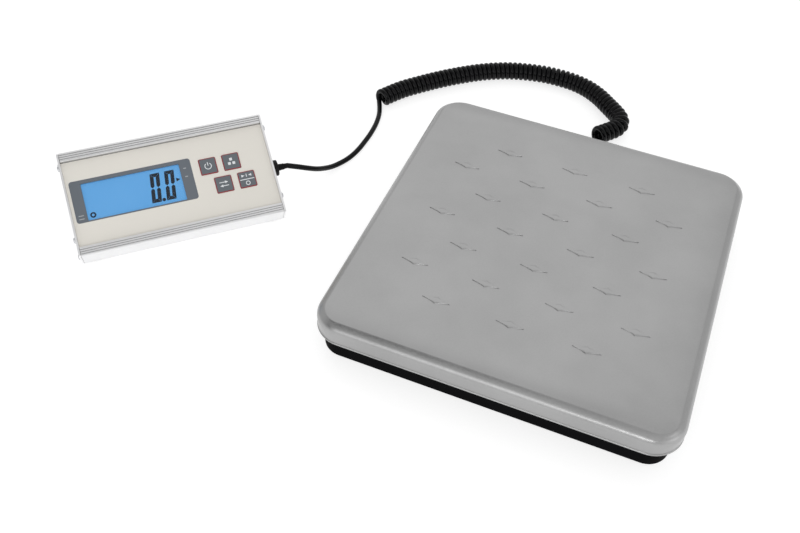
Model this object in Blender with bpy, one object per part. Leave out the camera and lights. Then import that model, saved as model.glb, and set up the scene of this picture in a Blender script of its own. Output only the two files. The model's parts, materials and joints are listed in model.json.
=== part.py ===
"""Bench scale: a low weighing platform, a display head on a wire stand, and the curly cord between them.

Metres, +Z up. The scale stands on Z = 0, its front faces -Y, and the display head is to the left of the
platform. Platform pieces hang from an empty at the platform's centre. Head pieces hang from an empty whose
axes are the head's own: X along it, Y up its face, Z out of its face.
"""

from math import asin, atan2, cos, pi, radians, sin

import bmesh
import bpy
from mathutils import Matrix, Vector

MM = 0.001
GAP = 0.3 * MM  # between pieces that touch

# Weighing platform
PLATFORM_X = 142 * MM
PAN_X, PAN_Y = 300 * MM, 315 * MM
PAN_TOP = 46 * MM
PAN_RIM = 26 * MM
PAN_SHEET = 1.2 * MM
PAN_CORNER = 26 * MM
PANEL_INSET = 8 * MM
PANEL_CORNER = 15.5 * MM
CREASE_INSET = 4 * MM
TREAD_X, TREAD_Y, TREAD_RISE = 24 * MM, 8 * MM, 0.7 * MM
TREAD_COLUMN, TREAD_ROW = 62.5 * MM, 32.5 * MM
BASE_INSET = 6.2 * MM
BASE_BOTTOM, BASE_TOP = 2.6 * MM, 34 * MM
BASE_FLOOR, BASE_WALL = 2 * MM, 2.5 * MM
BASE_CORNER = 18.5 * MM
BASE_FOOT_RADIUS = 11 * MM
BASE_FOOT_AT = (120 * MM, 128 * MM)

# Load path, upwards from the base's floor
SPACER_THICK = 3.7 * MM
SPACER_X = 36 * MM
CELL_X, CELL_Y, CELL_Z = 130 * MM, 30 * MM, 22 * MM
CELL_EYE_RADIUS, CELL_EYE_AT, CELL_SLOT = 7.5 * MM, 16 * MM, 3 * MM
BOLT_RADIUS, BOLT_HEAD_RADIUS, BOLT_HEAD = 3 * MM, 5 * MM, 1.6 * MM
BOLTS_AT = (38 * MM, 56 * MM)
SPIDER_THICK = 3 * MM
SPIDER_HUB = (66 * MM, 15 * MM)
SPIDER_ARM_HALF = 13 * MM
SPIDER_REACH = 158 * MM
SPIDER_ANGLE = atan2(112, 105)
CUSHION_AT, CUSHION_RADIUS, CUSHION_TALL = 146 * MM, 10 * MM, 6 * MM
STOP_AT, STOP_RADIUS, STOP_CLEARANCE = 120 * MM, 4 * MM, 0.55 * MM

FLOOR_TOP = BASE_BOTTOM + BASE_FLOOR
CELL_BOTTOM = FLOOR_TOP + GAP + SPACER_THICK + GAP
CELL_TOP = CELL_BOTTOM + CELL_Z
SPIDER_BOTTOM = CELL_TOP + GAP + SPACER_THICK + GAP
SPIDER_TOP = SPIDER_BOTTOM + SPIDER_THICK

# Display head, in its own frame: X along it, Y up its face, Z out of its face
HEAD_HINGE = (-167.4 * MM, -85 * MM, 0)
HEAD_YAW, HEAD_PITCH = radians(41.9), radians(28)
HINGE_Y, HINGE_Z = 3 * MM, -4 * MM
HEAD_HALF, HEAD_TALL, HEAD_THICK = 90 * MM, 98 * MM, 23 * MM
RAIL = 9 * MM
RECESS_Z = 19.2 * MM
CAVITY_TOP = 17.2 * MM
GROOVE_WIDE, GROOVE_DEEP = 0.8 * MM, 0.7 * MM
GROOVES_AT = (2.6 * MM, 4.6 * MM, 6.6 * MM)
LABEL_THICK = 0.5 * MM
LABEL_TOP = RECESS_Z + GAP + LABEL_THICK
PLATE_THICK = 1.7 * MM
PLATE_IN = HEAD_HALF + GAP
PLATE_OUT = PLATE_IN + PLATE_THICK
PLATE_CORNER = 2 * MM
SCREW_AT = ((18 * MM, 15.6 * MM), (86 * MM, 15.6 * MM), (5.6 * MM, 5 * MM), (92.4 * MM, 5 * MM))
SCREW_RADIUS, SCREW_HEAD_RADIUS, SCREW_HEAD, SCREW_DEEP = 1.5 * MM, 2.75 * MM, 1.9 * MM, 6.5 * MM
WINDOW_X, WINDOW_Y = (-77.7 * MM, 9 * MM), (31.8 * MM, 66.4 * MM)
WINDOW_THICK = 0.8 * MM
LCD_Z, BACKLIGHT_Z = (16.4 * MM, 18.9 * MM), (12 * MM, 16.1 * MM)
KEYS = {
    "key_power": (34.3 * MM, 58.5 * MM),
    "key_pieces": (55.5 * MM, 58.5 * MM),
    "key_mode": (44.2 * MM, 38.6 * MM),
    "key_tare_zero": (65.5 * MM, 38.6 * MM),
}
KEY_SIZE, KEY_CORNER, KEY_OPENING = 15.5 * MM, 1.5 * MM, 16.5 * MM
KEY_TOP, KEY_FLANGE, KEY_STEM = 20.6 * MM, 17.6 * MM, 5 * MM
BOARD_Z, BOARD_THICK = 9.5 * MM, 1.6 * MM
GLAND_AT = (47 * MM, 10 * MM)
GLAND_HOLE = 4.3 * MM
GLAND_NOSE = 103 * MM
HEAD_FOOT_RADIUS = 6 * MM
HEAD_FEET_AT = ((-80 * MM, 9 * MM), (80 * MM, 9 * MM), (-80 * MM, 89 * MM), (80 * MM, 89 * MM))
BAIL_PIVOT = (55 * MM, -1.8 * MM)
BAIL_WIRE, BAIL_HALF, BAIL_LEG, BAIL_TAIL = 1.25 * MM, 28 * MM, 38 * MM, 36 * MM
BAIL_BEND = 5 * MM
BAIL_RISE = (BAIL_PIVOT[0] - HINGE_Y) * sin(HEAD_PITCH) + (BAIL_PIVOT[1] - HINGE_Z) * cos(HEAD_PITCH)
BAIL_OPEN = HEAD_PITCH + asin((BAIL_RISE - BAIL_WIRE) / BAIL_LEG)
BATTERY_Y = 28.9 * MM
BATTERY_BAY_X, BATTERY_BAY_Y = 70.5 * MM, (22.6 * MM, 35.2 * MM)
BATTERY_ENDS = 69.2 * MM
BATTERY_RADIUS, BATTERY_LONG, BATTERY_PITCH = 5.25 * MM, 44.5 * MM, 46 * MM
DOOR_X, DOOR_Y, DOOR_THICK = 144 * MM, (19.5 * MM, 37.5 * MM), 1.8 * MM

# Cord
CORD_RADIUS = 2.5 * MM
COIL_RADIUS = 9.5 * MM
CORD_STEP, COIL_STEP = 11 * MM, 12 * MM
LEAD_STRAIGHT = 3 * MM
BASE_GLAND_X, BASE_GLAND_Z, BASE_GLAND_NOSE = -30 * MM, 13 * MM, 170 * MM
# Route points of the cord, in the platform's frame and millimetres
LEAD_ROUTE = [
    (-249.3, 12.2, 31.5), (-243.9, 17.0, 28.4), (-238.6, 23.5, 23.6), (-234.0, 32.0, 17.2),
    (-230.6, 42.0, 10.8), (-227.0, 52.8, 5.5), (-222.6, 64.2, 2.85), (-218.2, 75.2, 2.5),
    (-215.3, 88.5, 2.5), (-214.1, 104.0, 2.5), (-213.8, 118.0, 2.5), (-214.9, 134.0, 2.5),
    (-218.0, 149.0, 2.5), (-222.4, 160.5, 2.6), (-226.8, 169.4, 4.14),
]
COIL_ROUTE = [
    (-223.0, 167.0), (-209.0, 189.0), (-194.5, 205.5), (-178.0, 222.6), (-160.8, 238.2),
    (-142.7, 252.4), (-128.4, 261.3), (-113.5, 268.6), (-94.7, 274.6), (-76.5, 278.2),
    (-59.5, 279.0), (-42.4, 277.5), (-26.8, 272.6), (-12.1, 263.8), (-1.4, 254.6), (7.4, 246.8),
    (14.2, 239.8), (17.8, 233.0), (18.3, 225.6), (14.9, 218.2), (8.8, 210.6), (1.5, 202.0),
]
TAIL_ROUTE = [
    (1.5, 202.0, 2.5), (4.6, 199.2, 2.5), (6.6, 195.6, 2.5), (6.2, 191.4, 2.5), (2.8, 188.6, 2.5),
    (-2.5, 187.8, 2.6), (-9.0, 187.7, 3.1), (-15.5, 187.2, 4.4), (-22.0, 186.0, 6.8),
    (-27.0, 183.2, 9.6), (-29.5, 179.2, 12.0), (-30.0, 175.0, 12.9), (-30.0, 170.5, 13.0),
]
CELL_CABLE_ROUTE = [
    (-30.0, 141.9, 13.0), (-30.0, 130.0, 11.6), (-33.0, 115.0, 9.2), (-42.0, 95.0, 8.3),
    (-58.0, 72.0, 8.3), (-76.0, 48.0, 9.0), (-85.0, 26.0, 12.0), (-83.5, 9.0, 16.5),
    (-76.0, 1.0, 19.4), (-65.3, 0.0, 20.0),
]
CELL_CABLE_RADIUS = 1.75 * MM


def material(name, colour, roughness, metallic=0.0):
    """A Principled BSDF of one colour."""
    made = bpy.data.materials.new(name)
    made.use_nodes = True
    shader = made.node_tree.nodes["Principled BSDF"]
    shader.inputs["Base Color"].default_value = (*colour, 1.0)
    shader.inputs["Roughness"].default_value = roughness
    shader.inputs["Metallic"].default_value = metallic
    made.diffuse_color = (*colour, 1.0)
    return made


def empty(name, location, parent=None, rotation=None):
    made = bpy.data.objects.new(name, None)
    bpy.context.scene.collection.objects.link(made)
    made.parent = parent
    made.location = location
    if rotation is not None:
        made.rotation_euler = rotation.to_euler()
    return made


def place(name, data, finish, parent, location=(0, 0, 0), rotation=(0, 0, 0)):
    """Links a mesh or a curve as one named piece."""
    made = bpy.data.objects.new(name, data)
    data.materials.append(finish)
    bpy.context.scene.collection.objects.link(made)
    made.parent = parent
    made.location = location
    made.rotation_euler = rotation
    return made


def rounded_rectangle(wide, deep, corner, steps=5):
    """Points counterclockwise, with a quarter circle at each corner."""
    centres = (
        (wide / 2 - corner, deep / 2 - corner),
        (corner - wide / 2, deep / 2 - corner),
        (corner - wide / 2, corner - deep / 2),
        (wide / 2 - corner, corner - deep / 2),
    )
    points = []
    for quarter, (x, y) in enumerate(centres):
        for step in range(steps + 1):
            angle = (quarter + step / steps) * pi / 2
            points.append((x + corner * cos(angle), y + corner * sin(angle)))
    return points


def loft(rings, smooth=False):
    """A closed mesh through rings of equally many points, with a cap on the first and on the last."""
    mesh = bmesh.new()
    loops = [[mesh.verts.new(point) for point in ring] for ring in rings]
    for low, high in zip(loops, loops[1:]):
        for index in range(len(low)):
            following = (index + 1) % len(low)
            mesh.faces.new((low[index], low[following], high[following], high[index]))
    mesh.faces.new(reversed(loops[0]))
    mesh.faces.new(loops[-1])
    bmesh.ops.recalc_face_normals(mesh, faces=mesh.faces)
    data = bpy.data.meshes.new("loft")
    mesh.to_mesh(data)
    mesh.free()
    if smooth:
        data.shade_smooth()
        data.set_sharp_from_angle(angle=radians(35))
    return data


def stack(layers, steps=5):
    """A loft of level rounded rectangles, each (wide, deep, corner, z)."""
    rings = []
    for wide, deep, corner, z in layers:
        rings.append([(x, y, z) for x, y in rounded_rectangle(wide, deep, corner, steps)])
    return loft(rings, smooth=True)


def prism(outline, low, high, along="Z"):
    """An outline extruded from low to high. Along X the outline is in Y and Z, along Y in X and Z."""
    rings = []
    for level in (low, high):
        if along == "Z":
            rings.append([(u, v, level) for u, v in outline])
        elif along == "X":
            rings.append([(level, u, v) for u, v in outline])
        else:
            rings.append([(u, level, v) for u, v in outline])
    return loft(rings)


def slab(x, y, z):
    """A box between three pairs of limits."""
    return prism([(x[0], y[0]), (x[1], y[0]), (x[1], y[1]), (x[0], y[1])], z[0], z[1])


def turned(profile, along="Z", sides=24):
    """A solid of revolution about Z, X or Y through the origin, from (distance along, radius) pairs."""
    rings = []
    for distance, radius in profile:
        ring = []
        for side in range(sides):
            angle = 2 * pi * side / sides
            u, v = radius * cos(angle), radius * sin(angle)
            ring.append({"Z": (u, v, distance), "X": (distance, u, v), "Y": (u, distance, v)}[along])
        rings.append(ring)
    return loft(rings, smooth=True)


def cut(target, cutter_mesh, parent, location=(0, 0, 0), operation="DIFFERENCE"):
    """Cuts a closed mesh from a piece, or adds it to the piece."""
    number = len(target.modifiers)
    cutter = bpy.data.objects.new(f"{target.name}_cutter_{number}", cutter_mesh)
    bpy.context.scene.collection.objects.link(cutter)
    cutter.parent = parent
    cutter.location = location
    cutter.hide_render = True
    cutter.display_type = "WIRE"
    boolean = target.modifiers.new("Cut", "BOOLEAN")
    boolean.operation = operation
    boolean.solver = "EXACT"
    boolean.object = cutter


def smooth_path(points, step):
    """Points about a step apart on a centripetal Catmull-Rom curve through the route's points."""
    route = [Vector(point) for point in points]
    route.insert(0, 2 * route[0] - route[1])
    route.append(2 * route[-1] - route[-2])
    fine = []
    for first, second, third, fourth in zip(route, route[1:], route[2:], route[3:]):
        knots = [0.0]
        for start, end in ((first, second), (second, third), (third, fourth)):
            knots.append(knots[-1] + (end - start).length ** 0.5)
        for part in range(20):
            t = knots[1] + (knots[2] - knots[1]) * part / 20
            level = [first, second, third, fourth]
            for width in (1, 2):
                level = [
                    (level[i] * (knots[i + width] - t) + level[i + 1] * (t - knots[i]))
                    / (knots[i + width] - knots[i])
                    for i in range(4 - width)
                ]
            blend = (t - knots[1]) / (knots[2] - knots[1])
            fine.append(level[0] * (1 - blend) + level[1] * blend)
    fine.append(Vector(points[-1]))
    total = sum((end - start).length for start, end in zip(fine, fine[1:]))
    count = max(2, round(total / step))
    spaced, travelled, wanted = [fine[0]], 0.0, total / count
    for start, end in zip(fine, fine[1:]):
        length = (end - start).length
        while travelled + length >= wanted * len(spaced) and len(spaced) < count:
            spaced.append(start.lerp(end, (wanted * len(spaced) - travelled) / length))
        travelled += length
    spaced.append(fine[-1])
    return spaced


def tube(points, radius, sides_resolution=3):
    """A round tube with filled ends along a poly spline."""
    curve = bpy.data.curves.new("tube", "CURVE")
    curve.dimensions = "3D"
    spline = curve.splines.new("POLY")
    spline.points.add(len(points) - 1)
    for place_on, point in zip(spline.points, points):
        place_on.co = (*point, 1.0)
    curve.bevel_depth = radius
    curve.bevel_resolution = sides_resolution
    curve.use_fill_caps = True
    return curve


def in_metres(points):
    return [tuple(value * MM for value in point) for point in points]


def pan_layers():
    """The pan's outer skin from its flat panel down to the rim, then its inner skin back up."""
    outer = [(PANEL_INSET, PAN_TOP, PANEL_CORNER), (CREASE_INSET, PAN_TOP - 2 * MM, PAN_CORNER - CREASE_INSET)]
    inner = []
    shoulder_z = PAN_TOP - 2 * MM - CREASE_INSET
    for angle in (radians(35), radians(62), radians(90)):
        inset = CREASE_INSET * (1 - sin(angle))
        outer.append((inset, shoulder_z + CREASE_INSET * cos(angle), PAN_CORNER - inset))
    outer.append((0, PAN_RIM, PAN_CORNER))
    for inset, z, corner in outer:
        share = 1 if inset < PANEL_INSET else 0.4
        inner.append((inset + PAN_SHEET * share, z - PAN_SHEET * (inset > 0), corner - PAN_SHEET))
    layers = outer + inner[::-1]
    return [(PAN_X - 2 * inset, PAN_Y - 2 * inset, corner, z) for inset, z, corner in layers]


def tread_centres():
    """Tread diamonds: rows of three and rows of four, staggered."""
    centres = []
    for row in range(-3, 4):
        columns = (-1, 0, 1) if row % 2 else (-1.5, -0.5, 0.5, 1.5)
        centres += [(column * TREAD_COLUMN, row * TREAD_ROW) for column in columns]
    return centres


def tread_mesh():
    """All the diamonds, each a low four-sided point sunk a little into the panel."""
    mesh = bmesh.new()
    sunk = 0.4 * MM
    grown = 1 + sunk / TREAD_RISE
    for x, y in tread_centres():
        corners = ((1, 0), (0, 1), (-1, 0), (0, -1))
        base = [
            mesh.verts.new((x + u * TREAD_X / 2 * grown, y + v * TREAD_Y / 2 * grown, PAN_TOP - sunk))
            for u, v in corners
        ]
        peak = mesh.verts.new((x, y, PAN_TOP + TREAD_RISE))
        for index in range(4):
            mesh.faces.new((base[index], base[(index + 1) % 4], peak))
        mesh.faces.new(reversed(base))
    data = bpy.data.meshes.new("treads")
    mesh.to_mesh(data)
    mesh.free()
    return data


def make_pan(platform, steel):
    pan = place("pan", stack(pan_layers()), steel, platform)
    cut(pan, tread_mesh(), platform, operation="UNION")


def make_base(platform, black, rubber):
    wide, deep = PAN_X - 2 * BASE_INSET, PAN_Y - 2 * BASE_INSET
    layers = [
        (wide - 2 * MM, deep - 2 * MM, BASE_CORNER - 1 * MM, BASE_BOTTOM),
        (wide, deep, BASE_CORNER, BASE_BOTTOM + 1 * MM),
        (wide, deep, BASE_CORNER, BASE_TOP),
        (wide - 2 * BASE_WALL, deep - 2 * BASE_WALL, BASE_CORNER - BASE_WALL, BASE_TOP),
        (wide - 2 * BASE_WALL, deep - 2 * BASE_WALL, BASE_CORNER - BASE_WALL, FLOOR_TOP),
    ]
    tray = place("base_tray", stack(layers), black, platform)
    hole = turned([(deep / 2 - 6 * MM, GLAND_HOLE), (deep / 2 + 3 * MM, GLAND_HOLE)], along="Y")
    cut(tray, hole, platform, (BASE_GLAND_X, 0, BASE_GLAND_Z))
    for x in BOLTS_AT:
        hole = turned([(BASE_BOTTOM - MM, BOLT_RADIUS + GAP), (FLOOR_TOP + MM, BOLT_RADIUS + GAP)])
        cut(tray, hole, platform, (-x, 0, 0))
    foot = [(0, BASE_FOOT_RADIUS - MM), (MM, BASE_FOOT_RADIUS), (BASE_BOTTOM - GAP, BASE_FOOT_RADIUS)]
    for name, (side, end) in corner_names().items():
        at = (side * BASE_FOOT_AT[0], end * BASE_FOOT_AT[1], 0)
        place(f"base_foot_{name}", turned(foot), rubber, platform, at)


def corner_names():
    return {
        "front_left": (-1, -1),
        "front_right": (1, -1),
        "rear_left": (-1, 1),
        "rear_right": (1, 1),
    }


def make_load_cell(platform, aluminium, steel):
    """The beam, fixed at its -X end and live at its +X end, with its two spacers and their bolts."""
    half_x, half_y = CELL_X / 2, CELL_Y / 2
    beam = place(
        "load_cell",
        slab((-half_x, half_x), (-half_y, half_y), (CELL_BOTTOM, CELL_TOP)),
        aluminium,
        platform,
    )
    eye_z = (CELL_BOTTOM + CELL_TOP) / 2
    mouth = asin(CELL_SLOT / CELL_EYE_RADIUS)
    outline = []
    for side, middle in ((1, 0), (-1, pi)):
        for step in range(13):
            angle = middle + (pi - mouth) * (step / 6 - 1)
            x = side * CELL_EYE_AT + CELL_EYE_RADIUS * cos(angle)
            outline.append((x, eye_z + CELL_EYE_RADIUS * sin(angle)))
    cut(beam, prism(outline, -half_y - MM, half_y + MM, along="Y"), platform)

    hole_radius = BOLT_RADIUS + GAP
    fixed_tip, live_tip = CELL_BOTTOM + 7.5 * MM, CELL_TOP - 7.5 * MM
    spacer_half = SPACER_X / 2
    middle_x = sum(BOLTS_AT) / 2
    low = FLOOR_TOP + GAP
    high = CELL_TOP + GAP
    spacers = (
        ("lower_spacer", -middle_x, low),
        ("upper_spacer", middle_x, high),
    )
    for name, x, z in spacers:
        mesh = slab((x - spacer_half, x + spacer_half), (-half_y, half_y), (z, z + SPACER_THICK))
        spacer = place(name, mesh, steel, platform)
        for bolt_x in BOLTS_AT:
            at = (bolt_x if x > 0 else -bolt_x, 0, 0)
            cut(spacer, turned([(z - MM, hole_radius), (z + SPACER_THICK + MM, hole_radius)]), platform, at)
    head_top = BASE_BOTTOM - 0.4 * MM
    fixed = [
        (head_top - BOLT_HEAD, BOLT_HEAD_RADIUS - MM),
        (head_top - BOLT_HEAD / 2, BOLT_HEAD_RADIUS),
        (head_top, BOLT_HEAD_RADIUS),
        (head_top, BOLT_RADIUS),
        (fixed_tip, BOLT_RADIUS),
    ]
    seat = SPIDER_TOP + GAP
    live = [
        (live_tip, BOLT_RADIUS),
        (seat, BOLT_RADIUS),
        (seat, BOLT_HEAD_RADIUS),
        (seat + BOLT_HEAD / 2, BOLT_HEAD_RADIUS),
        (seat + BOLT_HEAD, BOLT_HEAD_RADIUS - MM),
    ]
    for number, x in enumerate(BOLTS_AT, 1):
        place(f"fixed_bolt_{number}", turned(fixed), steel, platform, (-x, 0, 0))
        place(f"live_bolt_{number}", turned(live), steel, platform, (x, 0, 0))
        cut(beam, turned([(CELL_BOTTOM - MM, hole_radius), (fixed_tip + MM, hole_radius)]), platform, (-x, 0, 0))
        cut(beam, turned([(live_tip - 2 * MM, hole_radius), (CELL_TOP + MM, hole_radius)]), platform, (x, 0, 0))


def make_spider(platform, steel, rubber):
    """The cross plate over the beam, with its cushions on top and the stop posts below."""
    along = Vector((cos(SPIDER_ANGLE), sin(SPIDER_ANGLE)))
    across = Vector((-sin(SPIDER_ANGLE), cos(SPIDER_ANGLE)))
    hub_x, hub_y = SPIDER_HUB
    lower_edge_x = (hub_y * along.x + SPIDER_ARM_HALF) / along.y
    tip = SPIDER_REACH * along
    quarter = [
        (hub_x, hub_y),
        (lower_edge_x, hub_y),
        tuple(tip - SPIDER_ARM_HALF * across),
        tuple(tip + SPIDER_ARM_HALF * across),
        (0, SPIDER_ARM_HALF / along.x),
    ]
    outline = quarter + [(-x, y) for x, y in quarter[-2::-1]]
    outline += [(x, -y) for x, y in outline[::-1] if x < 0]
    outline += [(0, -SPIDER_ARM_HALF / along.x)]
    outline += [(x, -y) for x, y in quarter[-2::-1]]
    spider = place("spider", prism(outline, SPIDER_BOTTOM, SPIDER_TOP), steel, platform)
    for x in BOLTS_AT:
        hole = turned([(SPIDER_BOTTOM - MM, BOLT_RADIUS + GAP), (SPIDER_TOP + MM, BOLT_RADIUS + GAP)])
        cut(spider, hole, platform, (x, 0, 0))
    cushion = [(SPIDER_TOP + GAP, CUSHION_RADIUS), (SPIDER_TOP + GAP + CUSHION_TALL, CUSHION_RADIUS - MM)]
    stop_top = SPIDER_BOTTOM - STOP_CLEARANCE
    stop = [
        (FLOOR_TOP + GAP, 2 * STOP_RADIUS),
        (FLOOR_TOP + 3 * MM, 2 * STOP_RADIUS),
        (FLOOR_TOP + 3 * MM, STOP_RADIUS),
        (stop_top, STOP_RADIUS),
    ]
    for name, (side, end) in corner_names().items():
        direction = Vector((side * along.x, end * along.y, 0))
        place(f"pan_cushion_{name}", turned(cushion), rubber, platform, CUSHION_AT * direction)
        place(f"overload_stop_{name}", turned(stop), steel, platform, STOP_AT * direction)


def notch(middle, half, top, floor):
    """Four points of a square notch or lump across an edge, in the order of falling Y."""
    return [(middle + half, top), (middle + half, floor), (middle - half, floor), (middle - half, top)]


def housing_outline():
    """The extrusion's outer section in Y and Z: ribbed rails on both sides of a recessed top wall."""
    round_off = 1.5 * MM
    far, top = HEAD_TALL, HEAD_THICK
    groove_half, groove_floor = GROOVE_WIDE / 2, top - GROOVE_DEEP
    points = [(round_off, 0), (far - round_off, 0), (far, round_off), (far, top - round_off)]
    points.append((far - round_off, top))
    for inward in GROOVES_AT:
        points += notch(far - inward, groove_half, top, groove_floor)
    points += [(far - RAIL, top), (far - RAIL, RECESS_Z), (RAIL, RECESS_Z), (RAIL, top)]
    for inward in reversed(GROOVES_AT):
        points += notch(inward, groove_half, top, groove_floor)
    points += [(round_off, top), (0, top - round_off), (0, round_off)]
    return points


def cavity_outline():
    """The inner section, which leaves two screw ports under the top wall and two on the floor."""
    wall, floor = 2.2 * MM, 2 * MM
    low_port = 9.5 * MM
    low_port_top, high_port_half, high_port_floor = 8.5 * MM, 3.5 * MM, 12 * MM
    points = [(low_port, floor), (HEAD_TALL - low_port, floor), (HEAD_TALL - low_port, low_port_top)]
    points += [(HEAD_TALL - wall, low_port_top), (HEAD_TALL - wall, CAVITY_TOP)]
    points += notch(SCREW_AT[1][0], high_port_half, CAVITY_TOP, high_port_floor)
    points += notch(SCREW_AT[0][0], high_port_half, CAVITY_TOP, high_port_floor)
    points += [(wall, CAVITY_TOP), (wall, low_port_top), (low_port, low_port_top)]
    return points


def make_housing(head, aluminium):
    housing = place(
        "head_housing",
        prism(housing_outline(), -HEAD_HALF, HEAD_HALF, along="X"),
        aluminium,
        head,
    )
    through = HEAD_HALF + MM
    cut(housing, prism(cavity_outline(), -through, through, along="X"), head)
    top_wall = (CAVITY_TOP - MM, RECESS_Z + MM)
    margin = 0.5 * MM
    window = slab(
        (WINDOW_X[0] - margin, WINDOW_X[1] + margin), (WINDOW_Y[0] - margin, WINDOW_Y[1] + margin), top_wall
    )
    cut(housing, window, head)
    for x, y in KEYS.values():
        cut(housing, square(KEY_OPENING, top_wall), head, (x, y, 0))
    hole_radius = SCREW_RADIUS + 0.25 * MM
    for y, z in SCREW_AT:
        for side in (-1, 1):
            ends = sorted((side * (HEAD_HALF + MM), side * (HEAD_HALF - SCREW_DEEP - MM)))
            cut(housing, turned([(x, hole_radius) for x in ends], along="X", sides=12), head, (0, y, z))
    battery = slab((-BATTERY_BAY_X, BATTERY_BAY_X), BATTERY_BAY_Y, (-MM, 3 * MM))
    cut(housing, battery, head)


def square(size, z):
    return slab((-size / 2, size / 2), (-size / 2, size / 2), z)


def make_end_plates(head, aluminium, steel):
    screw = [
        (HEAD_HALF - SCREW_DEEP, SCREW_RADIUS),
        (PLATE_OUT + GAP, SCREW_RADIUS),
        (PLATE_OUT + GAP, SCREW_HEAD_RADIUS),
        (PLATE_OUT + GAP + 0.6 * SCREW_HEAD, SCREW_HEAD_RADIUS),
        (PLATE_OUT + GAP + SCREW_HEAD, 0.6 * SCREW_HEAD_RADIUS),
    ]
    for name, side in (("left", -1), ("right", 1)):
        outline = rounded_rectangle(HEAD_TALL, HEAD_THICK, PLATE_CORNER, steps=3)
        outline = [(y + HEAD_TALL / 2, z + HEAD_THICK / 2) for y, z in outline]
        low, high = sorted((side * PLATE_IN, side * PLATE_OUT))
        plate = place(f"head_plate_{name}", prism(outline, low, high, along="X"), aluminium, head)
        holes = [(y, z, SCREW_RADIUS + GAP) for y, z in SCREW_AT]
        if side > 0:
            holes.append((*GLAND_AT, GLAND_HOLE))
        for y, z, radius in holes:
            cut(plate, turned([(low - MM, radius), (high + MM, radius)], along="X", sides=12), head, (0, y, z))
        turn = (0, 0, 0) if side > 0 else (0, 0, pi)
        for number, (y, z) in enumerate(SCREW_AT, 1):
            mesh = turned(screw, along="X", sides=12)
            place(f"plate_screw_{name}_{number}", mesh, steel, head, (0, y, z), turn)


def make_face(head, looks):
    """The printed label, the window, the display behind it, the board, and the keys."""
    middle = HEAD_TALL / 2
    half = middle - RAIL - GAP
    label_z = (LABEL_TOP - LABEL_THICK, LABEL_TOP)
    label = place(
        "face_label", slab((-HEAD_HALF, HEAD_HALF), (middle - half, middle + half), label_z), looks["label"], head
    )
    cut_z = (label_z[0] - MM, label_z[1] + MM)
    for x, y in KEYS.values():
        cut(label, square(KEY_OPENING, cut_z), head, (x, y, 0))
    (left, right), (near, far) = WINDOW_X, WINDOW_Y
    cut(label, slab((left - GAP, right + GAP), (near - GAP, far + GAP), cut_z), head)
    window_z = (LABEL_TOP - WINDOW_THICK, LABEL_TOP)
    place("window", slab(WINDOW_X, WINDOW_Y, window_z), looks["clear"], head)
    place("lcd_panel", slab(WINDOW_X, WINDOW_Y, LCD_Z), looks["display"], head)
    backlight_near = 36.2 * MM
    backlight = slab((left, right), (backlight_near, far), BACKLIGHT_Z)
    place("backlight", backlight, looks["diffuser"], head)
    board = slab((-84 * MM, 84 * MM), (backlight_near, 81 * MM), (BOARD_Z, BOARD_Z + BOARD_THICK))
    place("main_board", board, looks["board"], head)
    shoulder, flange_floor = CAVITY_TOP - GAP, CAVITY_TOP - 1.5 * MM
    stem_end = BOARD_Z + BOARD_THICK + 0.6 * MM
    layers = [
        (KEY_STEM, KEY_STEM, MM, stem_end),
        (KEY_STEM, KEY_STEM, MM, flange_floor),
        (KEY_FLANGE, KEY_FLANGE, KEY_CORNER, flange_floor),
        (KEY_FLANGE, KEY_FLANGE, KEY_CORNER, shoulder),
        (KEY_SIZE, KEY_SIZE, KEY_CORNER, shoulder),
        (KEY_SIZE, KEY_SIZE, KEY_CORNER, KEY_TOP - 0.5 * MM),
        (KEY_SIZE - MM, KEY_SIZE - MM, KEY_CORNER - 0.4 * MM, KEY_TOP),
    ]
    for name, (x, y) in KEYS.items():
        place(name, stack(layers, steps=3), looks["key"], head, (x, y, 0))


def make_head_gland(head, black):
    nose_start = PLATE_OUT + GAP + 3.5 * MM
    profile = [
        (HEAD_HALF - 3.5 * MM, GLAND_HOLE - GAP),
        (PLATE_OUT + GAP, GLAND_HOLE - GAP),
        (PLATE_OUT + GAP, 7.5 * MM),
        (nose_start - 1.5 * MM, 7.5 * MM),
        (nose_start - 0.4 * MM, 6.8 * MM),
        (nose_start, 3.9 * MM),
        (GLAND_NOSE, 3.1 * MM),
    ]
    place("head_gland", turned(profile, along="X", sides=20), black, head, (0, *GLAND_AT))


def make_battery(head, looks):
    """Three cells end to end in an upturned channel, behind a door in the head's back."""
    inner = (2 * BATTERY_ENDS, 2 * BATTERY_RADIUS + 1.1 * MM)
    wall = 0.8 * MM
    outer = (inner[0] + 2 * wall, inner[1] + 2 * wall)
    roof = 14.8 * MM
    layers = [
        (*outer, MM, roof),
        (*outer, MM, 2.3 * MM),
        (*inner, 0.6 * MM, 2.3 * MM),
        (*inner, 0.6 * MM, roof - wall),
    ]
    place("battery_tray", stack(layers, steps=2), looks["black"], head, (0, BATTERY_Y, 0))
    cell = [
        (-BATTERY_LONG / 2, BATTERY_RADIUS),
        (BATTERY_LONG / 2 - MM, BATTERY_RADIUS),
        (BATTERY_LONG / 2 - MM, 1.9 * MM),
        (BATTERY_LONG / 2, 1.9 * MM),
    ]
    for number in range(3):
        at = ((number - 1) * BATTERY_PITCH, BATTERY_Y, 2.9 * MM + BATTERY_RADIUS)
        place(f"battery_cell_{number + 1}", turned(cell, along="X", sides=20), looks["cell"], head, at)
    door = slab((-DOOR_X / 2, DOOR_X / 2), DOOR_Y, (-GAP - DOOR_THICK, -GAP))
    place("battery_door", door, looks["black"], head)


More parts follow.
